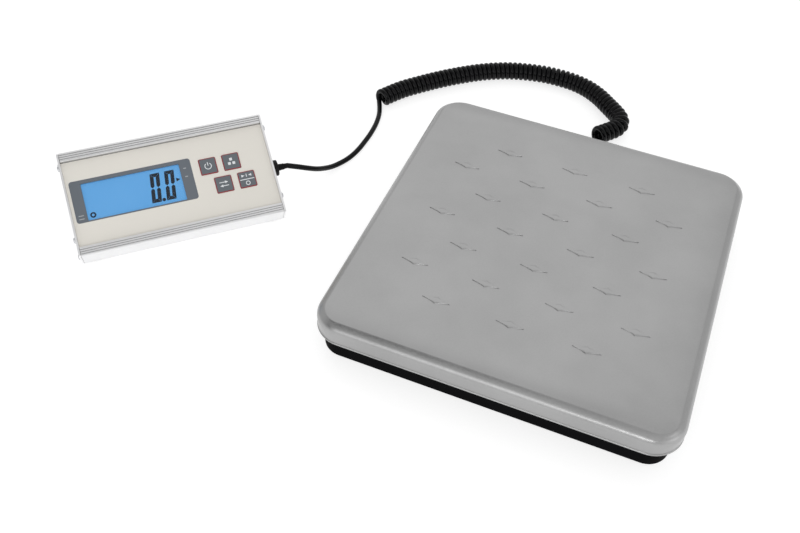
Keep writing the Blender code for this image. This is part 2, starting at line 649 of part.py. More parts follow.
def make_stand(head, steel, black):
    """The wire bail, folded out at rest, in the two saddles that hold its ends, and the head's feet."""
    corner = BAIL_HALF - BAIL_BEND
    path = [(-BAIL_TAIL, 0, 0)]
    for side, turns in ((-1, (pi / 2, pi)), (1, (0, pi / 2))):
        arc = []
        for step in range(5):
            angle = turns[0] + (turns[1] - turns[0]) * step / 4
            arc.append((side * corner + BAIL_BEND * cos(angle), BAIL_LEG - BAIL_BEND + BAIL_BEND * sin(angle), 0))
        path += [(side * BAIL_HALF, 0, 0)] + arc[::-1] if side < 0 else arc[::-1] + [(side * BAIL_HALF, 0, 0)]
    path.append((BAIL_TAIL, 0, 0))
    wire = tube(path, BAIL_WIRE, sides_resolution=2)
    place("bail_stand", wire, steel, head, (0, *BAIL_PIVOT), (-BAIL_OPEN, 0, 0))
    middle = BAIL_PIVOT[0]
    slot, leg, flange = BAIL_WIRE + GAP, 2.8 * MM, 5 * MM
    inner, outer, flange_z = -3.35 * MM, -3.95 * MM, -1.1 * MM
    half_section = [(flange, -GAP), (flange, flange_z), (leg, flange_z), (leg, outer)]
    mirrored = [(-y, z) for y, z in half_section[::-1]]
    section = half_section + mirrored + [(-slot, -GAP), (-slot, inner), (slot, inner), (slot, -GAP)]
    section = [(middle + y, z) for y, z in section]
    for name, side in (("left", -1), ("right", 1)):
        ends = sorted((side * (BAIL_HALF + 2.4 * MM), side * (BAIL_HALF + 7.4 * MM)))
        place(f"bail_saddle_{name}", prism(section, *ends, along="X"), black, head)


def make_head_feet(head, rubber):
    foot = [(HINGE_Z, HEAD_FOOT_RADIUS), (-GAP, HEAD_FOOT_RADIUS)]
    for number, (x, y) in enumerate(HEAD_FEET_AT, 1):
        place(f"head_foot_{number}", turned(foot), rubber, head, (x, y, 0))


def make_cord(platform, head_axes, black):
    """The lead from the head's gland, the curly middle as one fat tube, and the tail into the base."""
    exits = [head_axes @ Vector((GLAND_NOSE + ahead, *GLAND_AT)) for ahead in (GAP, LEAD_STRAIGHT)]
    start, straight = [tuple(point - platform.location) for point in exits]
    lead = [start] + smooth_path([straight, *in_metres(LEAD_ROUTE)], CORD_STEP)
    place("cord_lead", tube(lead, CORD_RADIUS), black, platform)
    coil = smooth_path(in_metres([(x, y, COIL_RADIUS / MM) for x, y in COIL_ROUTE]), COIL_STEP)
    clear = CORD_RADIUS + GAP
    coil[0] = coil[0] + clear * (coil[1] - coil[0]).normalized()
    coil[-1] = coil[-1] + clear * (coil[-2] - coil[-1]).normalized()
    place("cord_coil", tube(coil, COIL_RADIUS, sides_resolution=4), black, platform)
    tail = smooth_path(in_metres(TAIL_ROUTE), CORD_STEP)
    place("cord_tail", tube(tail, CORD_RADIUS), black, platform)
    cable = smooth_path(in_metres(CELL_CABLE_ROUTE), CORD_STEP)
    place("cell_cable", tube(cable, CELL_CABLE_RADIUS, sides_resolution=2), black, platform)


def make_base_gland(platform, black):
    wall_out = PAN_Y / 2 - BASE_INSET
    wall_in = wall_out - BASE_WALL
    barrel = GLAND_HOLE - GAP
    profile = [
        (wall_in - 5 * MM, 6 * MM),
        (wall_in - GAP, 6 * MM),
        (wall_in - GAP, barrel),
        (wall_out + GAP, barrel),
        (wall_out + GAP, 7 * MM),
        (wall_out + 3 * MM, 7 * MM),
        (wall_out + 4 * MM, 5.2 * MM),
        (BASE_GLAND_NOSE, 3.1 * MM),
    ]
    at = (BASE_GLAND_X, 0, BASE_GLAND_Z)
    place("base_gland", turned(profile, along="Y", sides=20), black, platform, at)


def head_rotation():
    """The head's axes in the world: turned about Z, then its far edge raised."""
    return Matrix.Rotation(HEAD_YAW, 3, "Z") @ Matrix.Rotation(HEAD_PITCH, 3, "X")


def main():
    for old in list(bpy.data.objects):
        bpy.data.objects.remove(old, do_unlink=True)
    black = material("black_plastic", (0.012, 0.012, 0.014), 0.5)
    cord = material("cord_black", (0.01, 0.01, 0.011), 0.42)
    rubber = material("rubber", (0.015, 0.015, 0.015), 0.85)
    pan_steel = material("pan_steel", (0.42, 0.42, 0.42), 0.36, 1.0)
    zinc = material("zinc_steel", (0.55, 0.55, 0.56), 0.35, 1.0)
    extrusion = material("anodised_aluminium", (0.68, 0.69, 0.70), 0.34, 1.0)
    aluminium = material("plain_aluminium", (0.60, 0.61, 0.62), 0.4, 1.0)
    looks = {
        "black": black,
        "label": material("label_beige", (0.72, 0.69, 0.62), 0.5),
        "clear": material("window_clear", (0.55, 0.70, 0.85), 0.08),
        "display": material("display_blue", (0.12, 0.37, 0.73), 0.25),
        "diffuser": material("diffuser_white", (0.80, 0.85, 0.90), 0.5),
        "board": material("board_green", (0.02, 0.16, 0.06), 0.5),
        "key": material("key_grey", (0.12, 0.14, 0.15), 0.45),
        "cell": material("cell_sleeve", (0.12, 0.20, 0.30), 0.35),
    }

    platform = empty("platform_frame", (PLATFORM_X, 0, 0))
    make_pan(platform, pan_steel)
    make_base(platform, black, rubber)
    make_load_cell(platform, aluminium, zinc)
    make_spider(platform, zinc, rubber)
    make_base_gland(platform, black)

    rotation = head_rotation()
    hinge = empty("head_hinge", HEAD_HINGE, rotation=rotation)
    head = empty("head_frame", (0, -HINGE_Y, -HINGE_Z), parent=hinge)
    head_origin = Vector(HEAD_HINGE) + rotation @ Vector((0, -HINGE_Y, -HINGE_Z))
    make_housing(head, extrusion)
    make_end_plates(head, extrusion, zinc)
    make_face(head, looks)
    make_head_gland(head, black)
    make_battery(head, looks)
    make_stand(head, zinc, black)
    make_head_feet(head, rubber)

    make_cord(platform, Matrix.Translation(head_origin) @ rotation.to_4x4(), cord)


main()
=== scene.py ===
"""Looks of the bench scale: steel pan with treads, black base, aluminium display head and curly cord."""

import json
from math import atan, cos, pi, radians, sin

import bmesh
import bpy
from mathutils import Matrix, Vector
from mathutils.geometry import tessellate_polygon


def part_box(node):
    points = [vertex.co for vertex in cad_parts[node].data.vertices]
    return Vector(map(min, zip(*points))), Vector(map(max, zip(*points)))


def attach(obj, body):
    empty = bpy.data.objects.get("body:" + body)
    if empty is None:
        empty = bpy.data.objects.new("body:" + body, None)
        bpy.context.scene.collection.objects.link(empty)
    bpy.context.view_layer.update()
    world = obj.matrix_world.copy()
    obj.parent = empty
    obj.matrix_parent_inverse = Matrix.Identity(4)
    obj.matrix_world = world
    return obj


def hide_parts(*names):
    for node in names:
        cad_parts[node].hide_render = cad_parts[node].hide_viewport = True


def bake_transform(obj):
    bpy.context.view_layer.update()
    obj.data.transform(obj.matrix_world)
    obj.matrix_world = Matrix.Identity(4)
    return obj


MM = 0.001
UP = Vector((0, 0, 1))

# Camera
CAMERA_AT = (0.2200, -0.5532, 0.6194)
CAMERA_AZIMUTH, CAMERA_ELEVATION, CAMERA_ROLL = radians(20.74), radians(48.30), radians(2.27)
CAMERA_LENS, CAMERA_SENSOR = 41.59, 36.0

# Pan and base
PAN_SHEET = 1.2 * MM
PAN_CORNER, PANEL_CORNER = 26 * MM, 15.5 * MM
PANEL_INSET, CREASE_INSET, CREASE_DROP = 8 * MM, 4 * MM, 2 * MM
SLOPE_POWER, SHOULDER_DROP, WALL_INSET = 1.4, 6.2 * MM, 0.3 * MM
TREAD_HALF_X, TREAD_HALF_Y, TREAD_RISE, TREAD_HOLLOW = 12 * MM, 4 * MM, 0.7 * MM, 0.85
TREAD_COLUMN, TREAD_ROW = 62.5 * MM, 32.5 * MM
BASE_CORNER, BASE_WALL, BASE_FLOOR = 18.5 * MM, 2.5 * MM, 2 * MM

# Display head, in its own frame
HINGE_Y, HINGE_Z = 3 * MM, -4 * MM
HEAD_HALF, HEAD_TALL, HEAD_THICK = 90 * MM, 98 * MM, 23 * MM
RAIL, RECESS_Z, CAVITY_TOP = 9 * MM, 19.2 * MM, 17.2 * MM
GROOVES_AT = (2.6 * MM, 4.6 * MM, 6.6 * MM)
GROOVE_WIDE, GROOVE_DEEP = 0.6 * MM, 0.7 * MM
FACE_Z, LABEL_THICK = 20 * MM, 0.5 * MM
PLATE_IN, PLATE_OUT = 90.3 * MM, 92 * MM
SCREW_AT = ((18 * MM, 15.6 * MM), (86 * MM, 15.6 * MM), (5.6 * MM, 5 * MM), (92.4 * MM, 5 * MM))
SCREW_HOLE = 1.8 * MM
BEZEL_X, BEZEL_Y = (-87.5 * MM, 19.5 * MM), (30.6 * MM, 70 * MM)
WINDOW_X, WINDOW_Y = (-77.7 * MM, 9 * MM), (31.8 * MM, 66.4 * MM)
KEYS = {
    "key_power": (34.3 * MM, 58.5 * MM),
    "key_pieces": (55.5 * MM, 58.5 * MM),
    "key_mode": (44.2 * MM, 38.6 * MM),
    "key_tare_zero": (65.5 * MM, 38.6 * MM),
}
KEY_SIZE, KEY_BORDER, KEY_SHADOW = 15.5 * MM, 0.75 * MM, 0.15 * MM
KEY_TOP = 20.6 * MM
LCD_Z = (16.4 * MM, 18.9 * MM)
GLAND_AT, GLAND_HOLE, GLAND_NOSE = (47 * MM, 10 * MM), 4.3 * MM, 103 * MM
HEAD_FEET_AT = ((-80 * MM, 9 * MM), (80 * MM, 9 * MM), (-80 * MM, 89 * MM), (80 * MM, 89 * MM))
BAIL_PIVOT, BAIL_WIRE, BAIL_HALF, BAIL_LEG, BAIL_TAIL, BAIL_BEND = (
    (55 * MM, -1.8 * MM), 1.25 * MM, 28 * MM, 38 * MM, 36 * MM, 5 * MM
)
DOOR_HALF_X, DOOR_Y, DOOR_Z = 72 * MM, (19.5 * MM, 37.5 * MM), (-2.1 * MM, -0.3 * MM)

# Room light: the general level, and the parts of the room that differ from it, darker or brighter,
# as (direction, outer and inner radius in degrees, share of the general level)
ROOM_LIGHT = 0.74
ROOM_PATCHES = (
    ((-0.36, -0.25, 0.90), (26, 8), 0.35),
    ((-0.64, -0.60, 0.49), (22, 8), 0.40),
    ((-0.20, -0.85, 0.47), (22, 8), 2.5),
    ((0.95, -0.05, 0.22), (20, 10), 1.6),
)
FLOOR_COLOUR, FLOOR_GLOW, FLOOR_REACH = 0.42, 0.75, 6.0
LIGHT_AIM = (0, 0.05, 0)
# Lamps, as (name, place, size, power)
LAMPS = (
    ("back_softbox", (-0.45, 1.45, 1.75), (2.8, 2.2), 6.0),
    ("front_strip", (0.62, -1.95, 1.0), (0.4, 0.2), 2.5),
    ("right_softbox", (1.95, -0.75, 0.62), (1.2, 0.7), 1.5),
)

# Cord
CORD_RADIUS, COIL_RADIUS, COIL_PITCH = 2.5 * MM, 9.5 * MM, 5.18 * MM
MOST_PITCH = 6.3 * MM
COIL_START = 40 / 360
CORD_SIDES, TURN_POINTS = 14, 24
BASE_GLAND_AT = (-30 * MM, 13 * MM)
PLATFORM_X = 142 * MM
# Route points of the cord, in the platform's frame and millimetres
LEAD_ROUTE = [
    (-249.3, 12.2, 31.5), (-243.9, 17.0, 28.4), (-238.6, 23.5, 23.6), (-234.0, 32.0, 17.2),
    (-230.6, 42.0, 10.8), (-227.0, 52.8, 5.5), (-222.6, 64.2, 2.85), (-218.2, 75.2, 2.5),
    (-215.3, 88.5, 2.5), (-214.1, 104.0, 2.5), (-213.8, 118.0, 2.5), (-214.9, 134.0, 2.5),
    (-218.0, 149.0, 2.5), (-222.4, 160.5, 2.6), (-226.8, 169.4, 4.14),
]
COIL_ROUTE = [
    (-223.0, 167.0), (-209.0, 189.0), (-194.5, 205.5), (-178.0, 222.6), (-160.8, 238.2),
    (-142.7, 252.4), (-128.4, 261.3), (-113.5, 268.6), (-94.7, 274.6), (-76.5, 278.2),
    (-59.5, 279.0), (-42.4, 277.5), (-26.8, 272.6), (-12.1, 263.8), (-1.4, 254.6), (7.4, 246.8),
    (14.2, 239.8), (17.8, 233.0), (18.3, 225.6), (14.9, 218.2), (8.8, 210.6), (1.5, 202.0),
]
TAIL_ROUTE = [
    (1.5, 202.0, 2.5), (4.6, 199.2, 2.5), (6.6, 195.6, 2.5), (6.2, 191.4, 2.5), (2.8, 188.6, 2.5),
    (-2.5, 187.8, 2.6), (-9.0, 187.7, 3.1), (-15.5, 187.2, 4.4), (-22.0, 186.0, 6.8),
    (-27.0, 183.2, 9.6), (-29.5, 179.2, 12.0), (-30.0, 175.0, 12.9), (-30.0, 170.5, 13.0),
]

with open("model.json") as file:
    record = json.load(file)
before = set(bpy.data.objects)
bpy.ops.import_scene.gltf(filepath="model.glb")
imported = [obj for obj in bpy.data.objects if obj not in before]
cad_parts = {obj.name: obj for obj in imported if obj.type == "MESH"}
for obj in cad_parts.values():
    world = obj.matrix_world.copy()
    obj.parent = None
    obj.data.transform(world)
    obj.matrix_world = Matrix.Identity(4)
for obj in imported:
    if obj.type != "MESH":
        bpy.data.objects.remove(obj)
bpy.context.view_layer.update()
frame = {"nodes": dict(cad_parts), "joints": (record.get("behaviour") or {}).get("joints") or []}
pan_low, pan_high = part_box("pan")
PAN_X, PAN_Y = pan_high.x - pan_low.x, pan_high.y - pan_low.y
PAN_TOP, PAN_RIM = pan_high.z - TREAD_RISE, pan_low.z
tray_low, tray_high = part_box("base_tray")
tilt = next(joint for joint in frame["joints"] if joint["name"] == "head_tilt")
fold = next(joint for joint in frame["joints"] if joint["name"] == "bail_fold")


def head_matrix():
    """The head's own frame at rest, from its tilt joint: X along the hinge, Y up the face, Z out of it."""
    along = Vector(tilt["axis"]).normalized()
    pitch = radians(-tilt["range_deg"][0])
    level = UP.cross(along)
    rise = level * cos(pitch) + UP * sin(pitch)
    out = along.cross(rise)
    origin = Vector(tilt["pos_m"]) - rise * HINGE_Y - out * HINGE_Z
    matrix = Matrix((along, rise, out)).transposed().to_4x4()
    return Matrix.Translation(origin) @ matrix


PLATFORM = Matrix.Translation((PLATFORM_X, 0, 0))
HEAD = head_matrix()


# ---- materials


def nodes_of(name):
    made = bpy.data.materials.new(name)
    made.use_nodes = True
    tree = made.node_tree
    return made, tree, tree.nodes["Principled BSDF"]


def add(tree, kind, settings=None, inputs=None):
    node = tree.nodes.new(kind)
    for key, value in (settings or {}).items():
        setattr(node, key, value)
    for key, value in (inputs or {}).items():
        node.inputs[key].default_value = value
    return node


def ramp_between(tree, factor, low, high, start=0.35, end=0.65):
    """A colour ramp from low to high as the factor goes from start to end."""
    ramp = add(tree, "ShaderNodeValToRGB")
    ramp.color_ramp.elements[0].position = start
    ramp.color_ramp.elements[1].position = end
    ramp.color_ramp.elements[0].color = (*low, 1)
    ramp.color_ramp.elements[1].color = (*high, 1)
    tree.links.new(factor, ramp.inputs["Fac"])
    return ramp


def range_between(tree, factor, low, high, start=0.3, end=0.7):
    node = add(tree, "ShaderNodeMapRange")
    for index, value in enumerate((start, end, low, high), 1):
        node.inputs[index].default_value = value
    tree.links.new(factor, node.inputs[0])
    return node.outputs[0]


def noise(tree, scale, detail=3.0, stretch=(1, 1, 1), roughness=0.55):
    """Noise in the piece's own coordinates, stretched along an axis."""
    where = add(tree, "ShaderNodeTexCoord")
    mapping = add(tree, "ShaderNodeMapping", inputs={"Scale": stretch})
    made = add(tree, "ShaderNodeTexNoise", inputs={"Scale": scale, "Detail": detail, "Roughness": roughness})
    tree.links.new(where.outputs["Object"], mapping.inputs["Vector"])
    tree.links.new(mapping.outputs["Vector"], made.inputs["Vector"])
    return made.outputs["Fac"]


def surface(
    name, colour, rough, metallic=0.0, vary=0.12, grain=900, grain_bump=0.1, grain_depth=0.05 * MM,
    stretch=(1, 1, 1), cloud=25, coat=0.0, specular=0.5, edge_colour=None,
):
    """A procedural finish: cloudy colour, a grain in roughness and bump, and a lighter colour on sharp convex
    edges.
    """
    made, tree, shader = nodes_of(name)
    links = tree.links
    shader.inputs["Metallic"].default_value = metallic
    shader.inputs["Specular IOR Level"].default_value = specular
    shader.inputs["Coat Weight"].default_value = coat
    shader.inputs["Coat Roughness"].default_value = 0.2
    clouds = noise(tree, cloud, 4)
    fine = noise(tree, grain, 2, stretch)
    darker = tuple(value * (1 - vary) for value in colour)
    lighter = tuple(min(1.0, value * (1 + vary)) for value in colour)
    broad = ramp_between(tree, clouds, darker, lighter)
    speckle = ramp_between(tree, fine, darker, lighter, 0.3, 0.7)
    mixed = add(tree, "ShaderNodeMix", {"data_type": "RGBA"}, {"Factor": 0.5})
    links.new(broad.outputs["Color"], mixed.inputs["A"])
    links.new(speckle.outputs["Color"], mixed.inputs["B"])
    colour_out = mixed.outputs["Result"]
    # A lighter colour on sharp convex edges, following the mesh's pointiness
    if edge_colour:
        geometry = add(tree, "ShaderNodeNewGeometry")
        edge = range_between(tree, geometry.outputs["Pointiness"], 0.0, 1.0, 0.53, 0.62)
        edge_mix = add(tree, "ShaderNodeMix", {"data_type": "RGBA"}, {"B": (*edge_colour, 1)})
        links.new(edge, edge_mix.inputs["Factor"])
        links.new(colour_out, edge_mix.inputs["A"])
        colour_out = edge_mix.outputs["Result"]
    links.new(colour_out, shader.inputs["Base Color"])
    links.new(range_between(tree, fine, rough * 0.82, min(1, rough * 1.18)), shader.inputs["Roughness"])
    bump = add(tree, "ShaderNodeBump", inputs={"Strength": grain_bump, "Distance": grain_depth})
    links.new(fine, bump.inputs["Height"])
    links.new(bump.outputs["Normal"], shader.inputs["Normal"])
    return made


def clear_window():
    """A thin clear cover: mostly transparent, with a gloss coat and the faintest haze."""
    made, tree, shader = nodes_of("window_clear")
    shader.inputs["Base Color"].default_value = (0.05, 0.09, 0.14, 1)
    shader.inputs["Alpha"].default_value = 0.06
    haze = noise(tree, 60, 4)
    tree.links.new(range_between(tree, haze, 0.03, 0.09), shader.inputs["Roughness"])
    return made


def lit_display():
    """The backlit blue glass, a little brighter and darker in soft clouds."""
    made, tree, shader = nodes_of("display_blue")
    clouds = noise(tree, 14, 2)
    ramp = ramp_between(tree, clouds, (0.105, 0.365, 0.735), (0.125, 0.395, 0.765))
    tree.links.new(ramp.outputs["Color"], shader.inputs["Base Color"])
    tree.links.new(ramp.outputs["Color"], shader.inputs["Emission Color"])
    shader.inputs["Emission Strength"].default_value = 0.30
    fine = noise(tree, 1500, 1)
    tree.links.new(range_between(tree, fine, 0.25, 0.4), shader.inputs["Roughness"])
    return made


LOOKS = {
    "pan": surface("pan_steel", (0.38, 0.38, 0.38), 0.34, 1.0, 0.07, 700, 0.35, 0.04 * MM, cloud=18),
    "base": surface(
        "base_black", (0.0035, 0.0035, 0.004), 0.6, 0, 0.3, 1800, 0.4, 0.05 * MM,
        specular=0.01, edge_colour=(0.007, 0.007, 0.007),
    ),
    "rubber": surface("rubber_black", (0.016, 0.016, 0.017), 0.82, 0, 0.25, 1400, 0.5, 0.06 * MM),
    "extrusion": surface(
        "extrusion_satin", (0.84, 0.84, 0.845), 0.34, 1.0, 0.02, 2600, 0.12, 0.02 * MM, (0.03, 1, 1)
    ),
    # Painted shade: a darker copy of the extrusion finish, for the grooves and the rails' inner walls
    "groove": surface(
        "extrusion_painted_shade", (0.56, 0.56, 0.565), 0.5, 1.0, 0.03, 2600, 0.12, 0.02 * MM, (0.03, 1, 1)
    ),
    "plate": surface("plate_satin", (0.90, 0.90, 0.905), 0.4, 1.0, 0.04, 2200, 0.2, 0.02 * MM, (1, 0.05, 1)),
    "zinc": surface("zinc_steel", (0.62, 0.63, 0.65), 0.33, 1.0, 0.08, 1500, 0.2, 0.02 * MM, cloud=120),
    "cell": surface(
        "cell_aluminium", (0.70, 0.71, 0.73), 0.36, 1.0, 0.05, 2400, 0.3, 0.02 * MM, (0.04, 1, 1)
    ),
    "label": surface("label_print", (0.84, 0.81, 0.745), 0.6, 0, 0.012, 2200, 0.12, 0.03 * MM, specular=0.3),
    "bezel": surface("bezel_print", (0.140, 0.160, 0.185), 0.5, 0, 0.04, 2200, 0.12, 0.03 * MM),
    "ink": surface("lcd_ink", (0.004, 0.007, 0.016), 0.45, 0, 0.1, 2000, 0.05, 0.01 * MM),
    "white": surface("legend_white", (0.80, 0.82, 0.84), 0.5, 0, 0.03, 2000, 0.05, 0.01 * MM),
    "pale": surface("legend_pale", (0.42, 0.44, 0.46), 0.5, 0, 0.03, 2000, 0.05, 0.01 * MM),
    "key": surface("key_grey", (0.135, 0.152, 0.170), 0.5, 0, 0.05, 2000, 0.15, 0.03 * MM),
    "red": surface("key_red", (0.30, 0.022, 0.030), 0.5, 0, 0.06, 2000, 0.1, 0.02 * MM),
    "black": surface(
        "black_plastic", (0.006, 0.006, 0.0065), 0.42, 0, 0.25, 1600, 0.3, 0.04 * MM,
        specular=0.12, edge_colour=(0.014, 0.014, 0.014),
    ),
    "cord": surface(
        "cord_black", (0.0035, 0.0035, 0.004), 0.17, 0, 0.3, 1500, 0.08, 0.02 * MM, specular=0.15
    ),
    "diffuser": surface("diffuser_white", (0.75, 0.80, 0.86), 0.5, 0, 0.03, 900, 0.1, 0.03 * MM),
    "board": surface("board_green", (0.02, 0.15, 0.06), 0.4, 0, 0.2, 500, 0.3, 0.05 * MM, coat=0.4),
    "sleeve": surface("cell_sleeve", (0.10, 0.19, 0.30), 0.3, 0, 0.1, 900, 0.1, 0.02 * MM, coat=0.5),
    "window": clear_window(),
    "display": lit_display(),
}


# ---- mesh helpers


def rounded_rectangle(wide, deep, corner, steps=8, centre=(0, 0)):
    """Points counterclockwise, with a quarter circle at each corner."""
    points = []
    for quarter, (side, end) in enumerate(((1, 1), (-1, 1), (-1, -1), (1, -1))):
        x = centre[0] + side * (wide / 2 - corner)
        y = centre[1] + end * (deep / 2 - corner)
        for step in range(steps + 1):
            angle = (quarter + step / steps) * pi / 2
            points.append((x + corner * cos(angle), y + corner * sin(angle)))
    return points


def circle(radius, centre=(0, 0), sides=32):
    turn = 2 * pi / sides
    return [(centre[0] + radius * cos(turn * i), centre[1] + radius * sin(turn * i)) for i in range(sides)]


def arc(start, end, steps):
    """Vectors turning evenly from one to another of the same length."""
    whole = start.angle(end)
    shares = [step / steps for step in range(steps + 1)]
    return [(start * sin((1 - share) * whole) + end * sin(share * whole)) / sin(whole) for share in shares]


def rounded_outline(corners, steps=4):
    """An outline whose corners (x, y, radius) are turned into arcs."""
    points = []
    count = len(corners)
    for index, (x, y, radius) in enumerate(corners):
        here = Vector((x, y))
        before = (Vector(corners[index - 1][:2]) - here).normalized()
        after = (Vector(corners[(index + 1) % count][:2]) - here).normalized()
        if radius <= 0:
            points.append((x, y))
            continue
        half = before.angle(after) / 2
        reach = radius / (sin(half) / cos(half))
        centre = here + (before + after).normalized() * (radius / sin(half))
        spokes = (here + before * reach - centre, here + after * reach - centre)
        points += [tuple(centre + spoke) for spoke in arc(*spokes, steps)]
    return points


def finish_mesh(mesh, name, finish, matrix, sharp=35, more_finishes=()):
    """Turns a bmesh into a named object with smooth shading broken at sharp edges."""
    bmesh.ops.recalc_face_normals(mesh, faces=mesh.faces)
    data = bpy.data.meshes.new(name)
    mesh.to_mesh(data)
    mesh.free()
    data.shade_smooth()
    data.set_sharp_from_angle(angle=radians(sharp))
    for look in (finish, *more_finishes):
        data.materials.append(LOOKS[look])
    made = bpy.data.objects.new(name, data)
    bpy.context.scene.collection.objects.link(made)
    made.matrix_world = matrix
    return made


def skin(mesh, rings, cap_first=True, cap_last=True, closed=False):
    """Joins rings of equally many points with faces, and returns their loops of vertices."""
    loops = [[mesh.verts.new(point) for point in ring] for ring in rings]
    pairs = list(zip(loops, loops[1:]))
    if closed:
        pairs.append((loops[-1], loops[0]))
    for low, high in pairs:
        for index in range(len(low)):
            following = (index + 1) % len(low)
            mesh.faces.new((low[index], low[following], high[following], high[index]))
    if cap_first and not closed:
        mesh.faces.new(reversed(loops[0]))
    if cap_last and not closed:
        mesh.faces.new(loops[-1])
    return loops


def fill(mesh, loops):
    """Fills the area between an outer loop and the loops inside it, all in one plane."""
    every = [vertex for loop in loops for vertex in loop]
    for triangle in tessellate_polygon([[vertex.co for vertex in loop] for loop in loops]):
        mesh.faces.new([every[index] for index in triangle])


def level_rings(layers, steps=10):
    """Rings of rounded rectangles, from (wide, deep, corner, z)."""
    return [
        [(x, y, z) for x, y in rounded_rectangle(wide, deep, corner, steps)]
        for wide, deep, corner, z in layers
    ]


def stack(name, layers, finish, matrix, steps=10, sharp=35):
    mesh = bmesh.new()
    skin(mesh, level_rings(layers, steps))
    return finish_mesh(mesh, name, finish, matrix, sharp)


def turned(name, profile, finish, matrix, along="Z", sides=40, sharp=35):
    """A solid of revolution from (distance along, radius) pairs. A radius of 0 closes it to a point."""
    mesh = bmesh.new()
    rings = []
    for distance, radius in profile:
        ring = []
        for side in range(sides):
            angle = 2 * pi * side / sides
            u, v = radius * cos(angle), radius * sin(angle)
            ring.append({"Z": (u, v, distance), "X": (distance, u, v), "Y": (u, distance, v)}[along])
        rings.append(ring)
    skin(mesh, rings)
    return finish_mesh(mesh, name, finish, matrix, sharp)


def plate(name, outer, holes, low, high, finish, matrix, along="Z", sharp=35):
    """A flat plate with holes through it, between two levels along an axis."""
    mesh = bmesh.new()
    place_at = {"Z": lambda u, v, w: (u, v, w), "X": lambda u, v, w: (w, u, v)}[along]
    levels = []
    for level in (low, high):
        levels.append([[mesh.verts.new(place_at(u, v, level)) for u, v in loop] for loop in (outer, *holes)])
        fill(mesh, levels[-1])
    for below, above in zip(*levels):
        for index in range(len(below)):
            following = (index + 1) % len(below)
            mesh.faces.new((below[index], below[following], above[following], above[index]))
    return finish_mesh(mesh, name, finish, matrix, sharp)


def bevelled(piece, width, segments=2, angle=40):
    """Rounds a piece's edges."""
    bevel = piece.modifiers.new("Bevel", "BEVEL")
    bevel.width = width
    bevel.segments = segments
    bevel.limit_method = "ANGLE"
    bevel.angle_limit = radians(angle)
    bevel.harden_normals = True
    return piece


def cut(piece, cutter):
    """Cuts a closed piece away, which is then gone."""
    boolean = piece.modifiers.new("Cut", "BOOLEAN")
    boolean.operation = "DIFFERENCE"
    boolean.solver = "EXACT"
    boolean.object = cutter
    bpy.context.view_layer.update()
    graph = bpy.context.evaluated_depsgraph_get()
    data = bpy.data.meshes.new_from_object(piece.evaluated_get(graph))
    piece.modifiers.clear()
    piece.data = data
    bpy.data.objects.remove(cutter)


def settle(piece, body, slot, *nodes):
    """The piece rides on its body and stands for its CAD nodes; the slot is not used."""
    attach(piece, body)
    if nodes:
        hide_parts(*nodes)
    return piece


def smooth_path(points, step):
    """Points about a step apart on a centripetal Catmull-Rom curve through the route's points."""
    route = [Vector(point) for point in points]
    route.insert(0, 2 * route[0] - route[1])
    route.append(2 * route[-1] - route[-2])
    fine = []
    for first, second, third, fourth in zip(route, route[1:], route[2:], route[3:]):
        knots = [0.0]
        for start, end in ((first, second), (second, third), (third, fourth)):
            knots.append(knots[-1] + (end - start).length ** 0.5)
        for part in range(20):
            t = knots[1] + (knots[2] - knots[1]) * part / 20
            level = [first, second, third, fourth]
            for width in (1, 2):
                level = [
                    (level[i] * (knots[i + width] - t) + level[i + 1] * (t - knots[i]))
                    / (knots[i + width] - knots[i])
                    for i in range(4 - width)
                ]
            blend = (t - knots[1]) / (knots[2] - knots[1])
            fine.append(level[0] * (1 - blend) + level[1] * blend)
    fine.append(Vector(points[-1]))
    return evenly(fine, step)


def evenly(fine, step):
    """The same line, with points about a step apart."""
    total = sum((end - start).length for start, end in zip(fine, fine[1:]))
    count = max(2, round(total / step))
    spaced, travelled, wanted = [fine[0]], 0.0, total / count
    for start, end in zip(fine, fine[1:]):
        length = (end - start).length
        while travelled + length >= wanted * len(spaced) and len(spaced) < count:
            spaced.append(start.lerp(end, (wanted * len(spaced) - travelled) / length))
        travelled += length
    spaced.append(fine[-1])
    return spaced


def tube(name, points, radius, finish, matrix, sides=CORD_SIDES):
    """A round tube along a line, turned as little as possible on the way."""
    mesh = bmesh.new()
    rings = []
    across = None
    for index, point in enumerate(points):
        ahead = points[min(index + 1, len(points) - 1)] - points[max(index - 1, 0)]
        ahead = ahead.normalized()
        if across is None:
            across = ahead.orthogonal()
        across = (across - ahead * across.dot(ahead)).normalized()
        other = ahead.cross(across)
        turn = 2 * pi / sides
        rings.append(
            [point + radius * (across * cos(turn * i) + other * sin(turn * i)) for i in range(sides)]
        )
    skin(mesh, rings)
    return finish_mesh(mesh, name, finish, matrix, 60)


# ---- platform


def tread_outline(centre, grow_x=1.0, grow_y=1.0, steps=8):
    """A diamond with slightly hollow sides, longer in X."""
    power = 2 / TREAD_HOLLOW
    points = []
    for index in range(4 * steps):
        angle = 2 * pi * index / (4 * steps)
        u, v = cos(angle), sin(angle)
        x = TREAD_HALF_X * grow_x * abs(u) ** power * (1 if u > 0 else -1)
        y = TREAD_HALF_Y * grow_y * abs(v) ** power * (1 if v > 0 else -1)
        points.append((centre[0] + x, centre[1] + y))
    return points


def tread_centres():
    centres = []
    for row in range(-3, 4):
        columns = (-1, 0, 1) if row % 2 else (-1.5, -0.5, 0.5, 1.5)
        centres += [(column * TREAD_COLUMN, row * TREAD_ROW) for column in columns]
    return centres


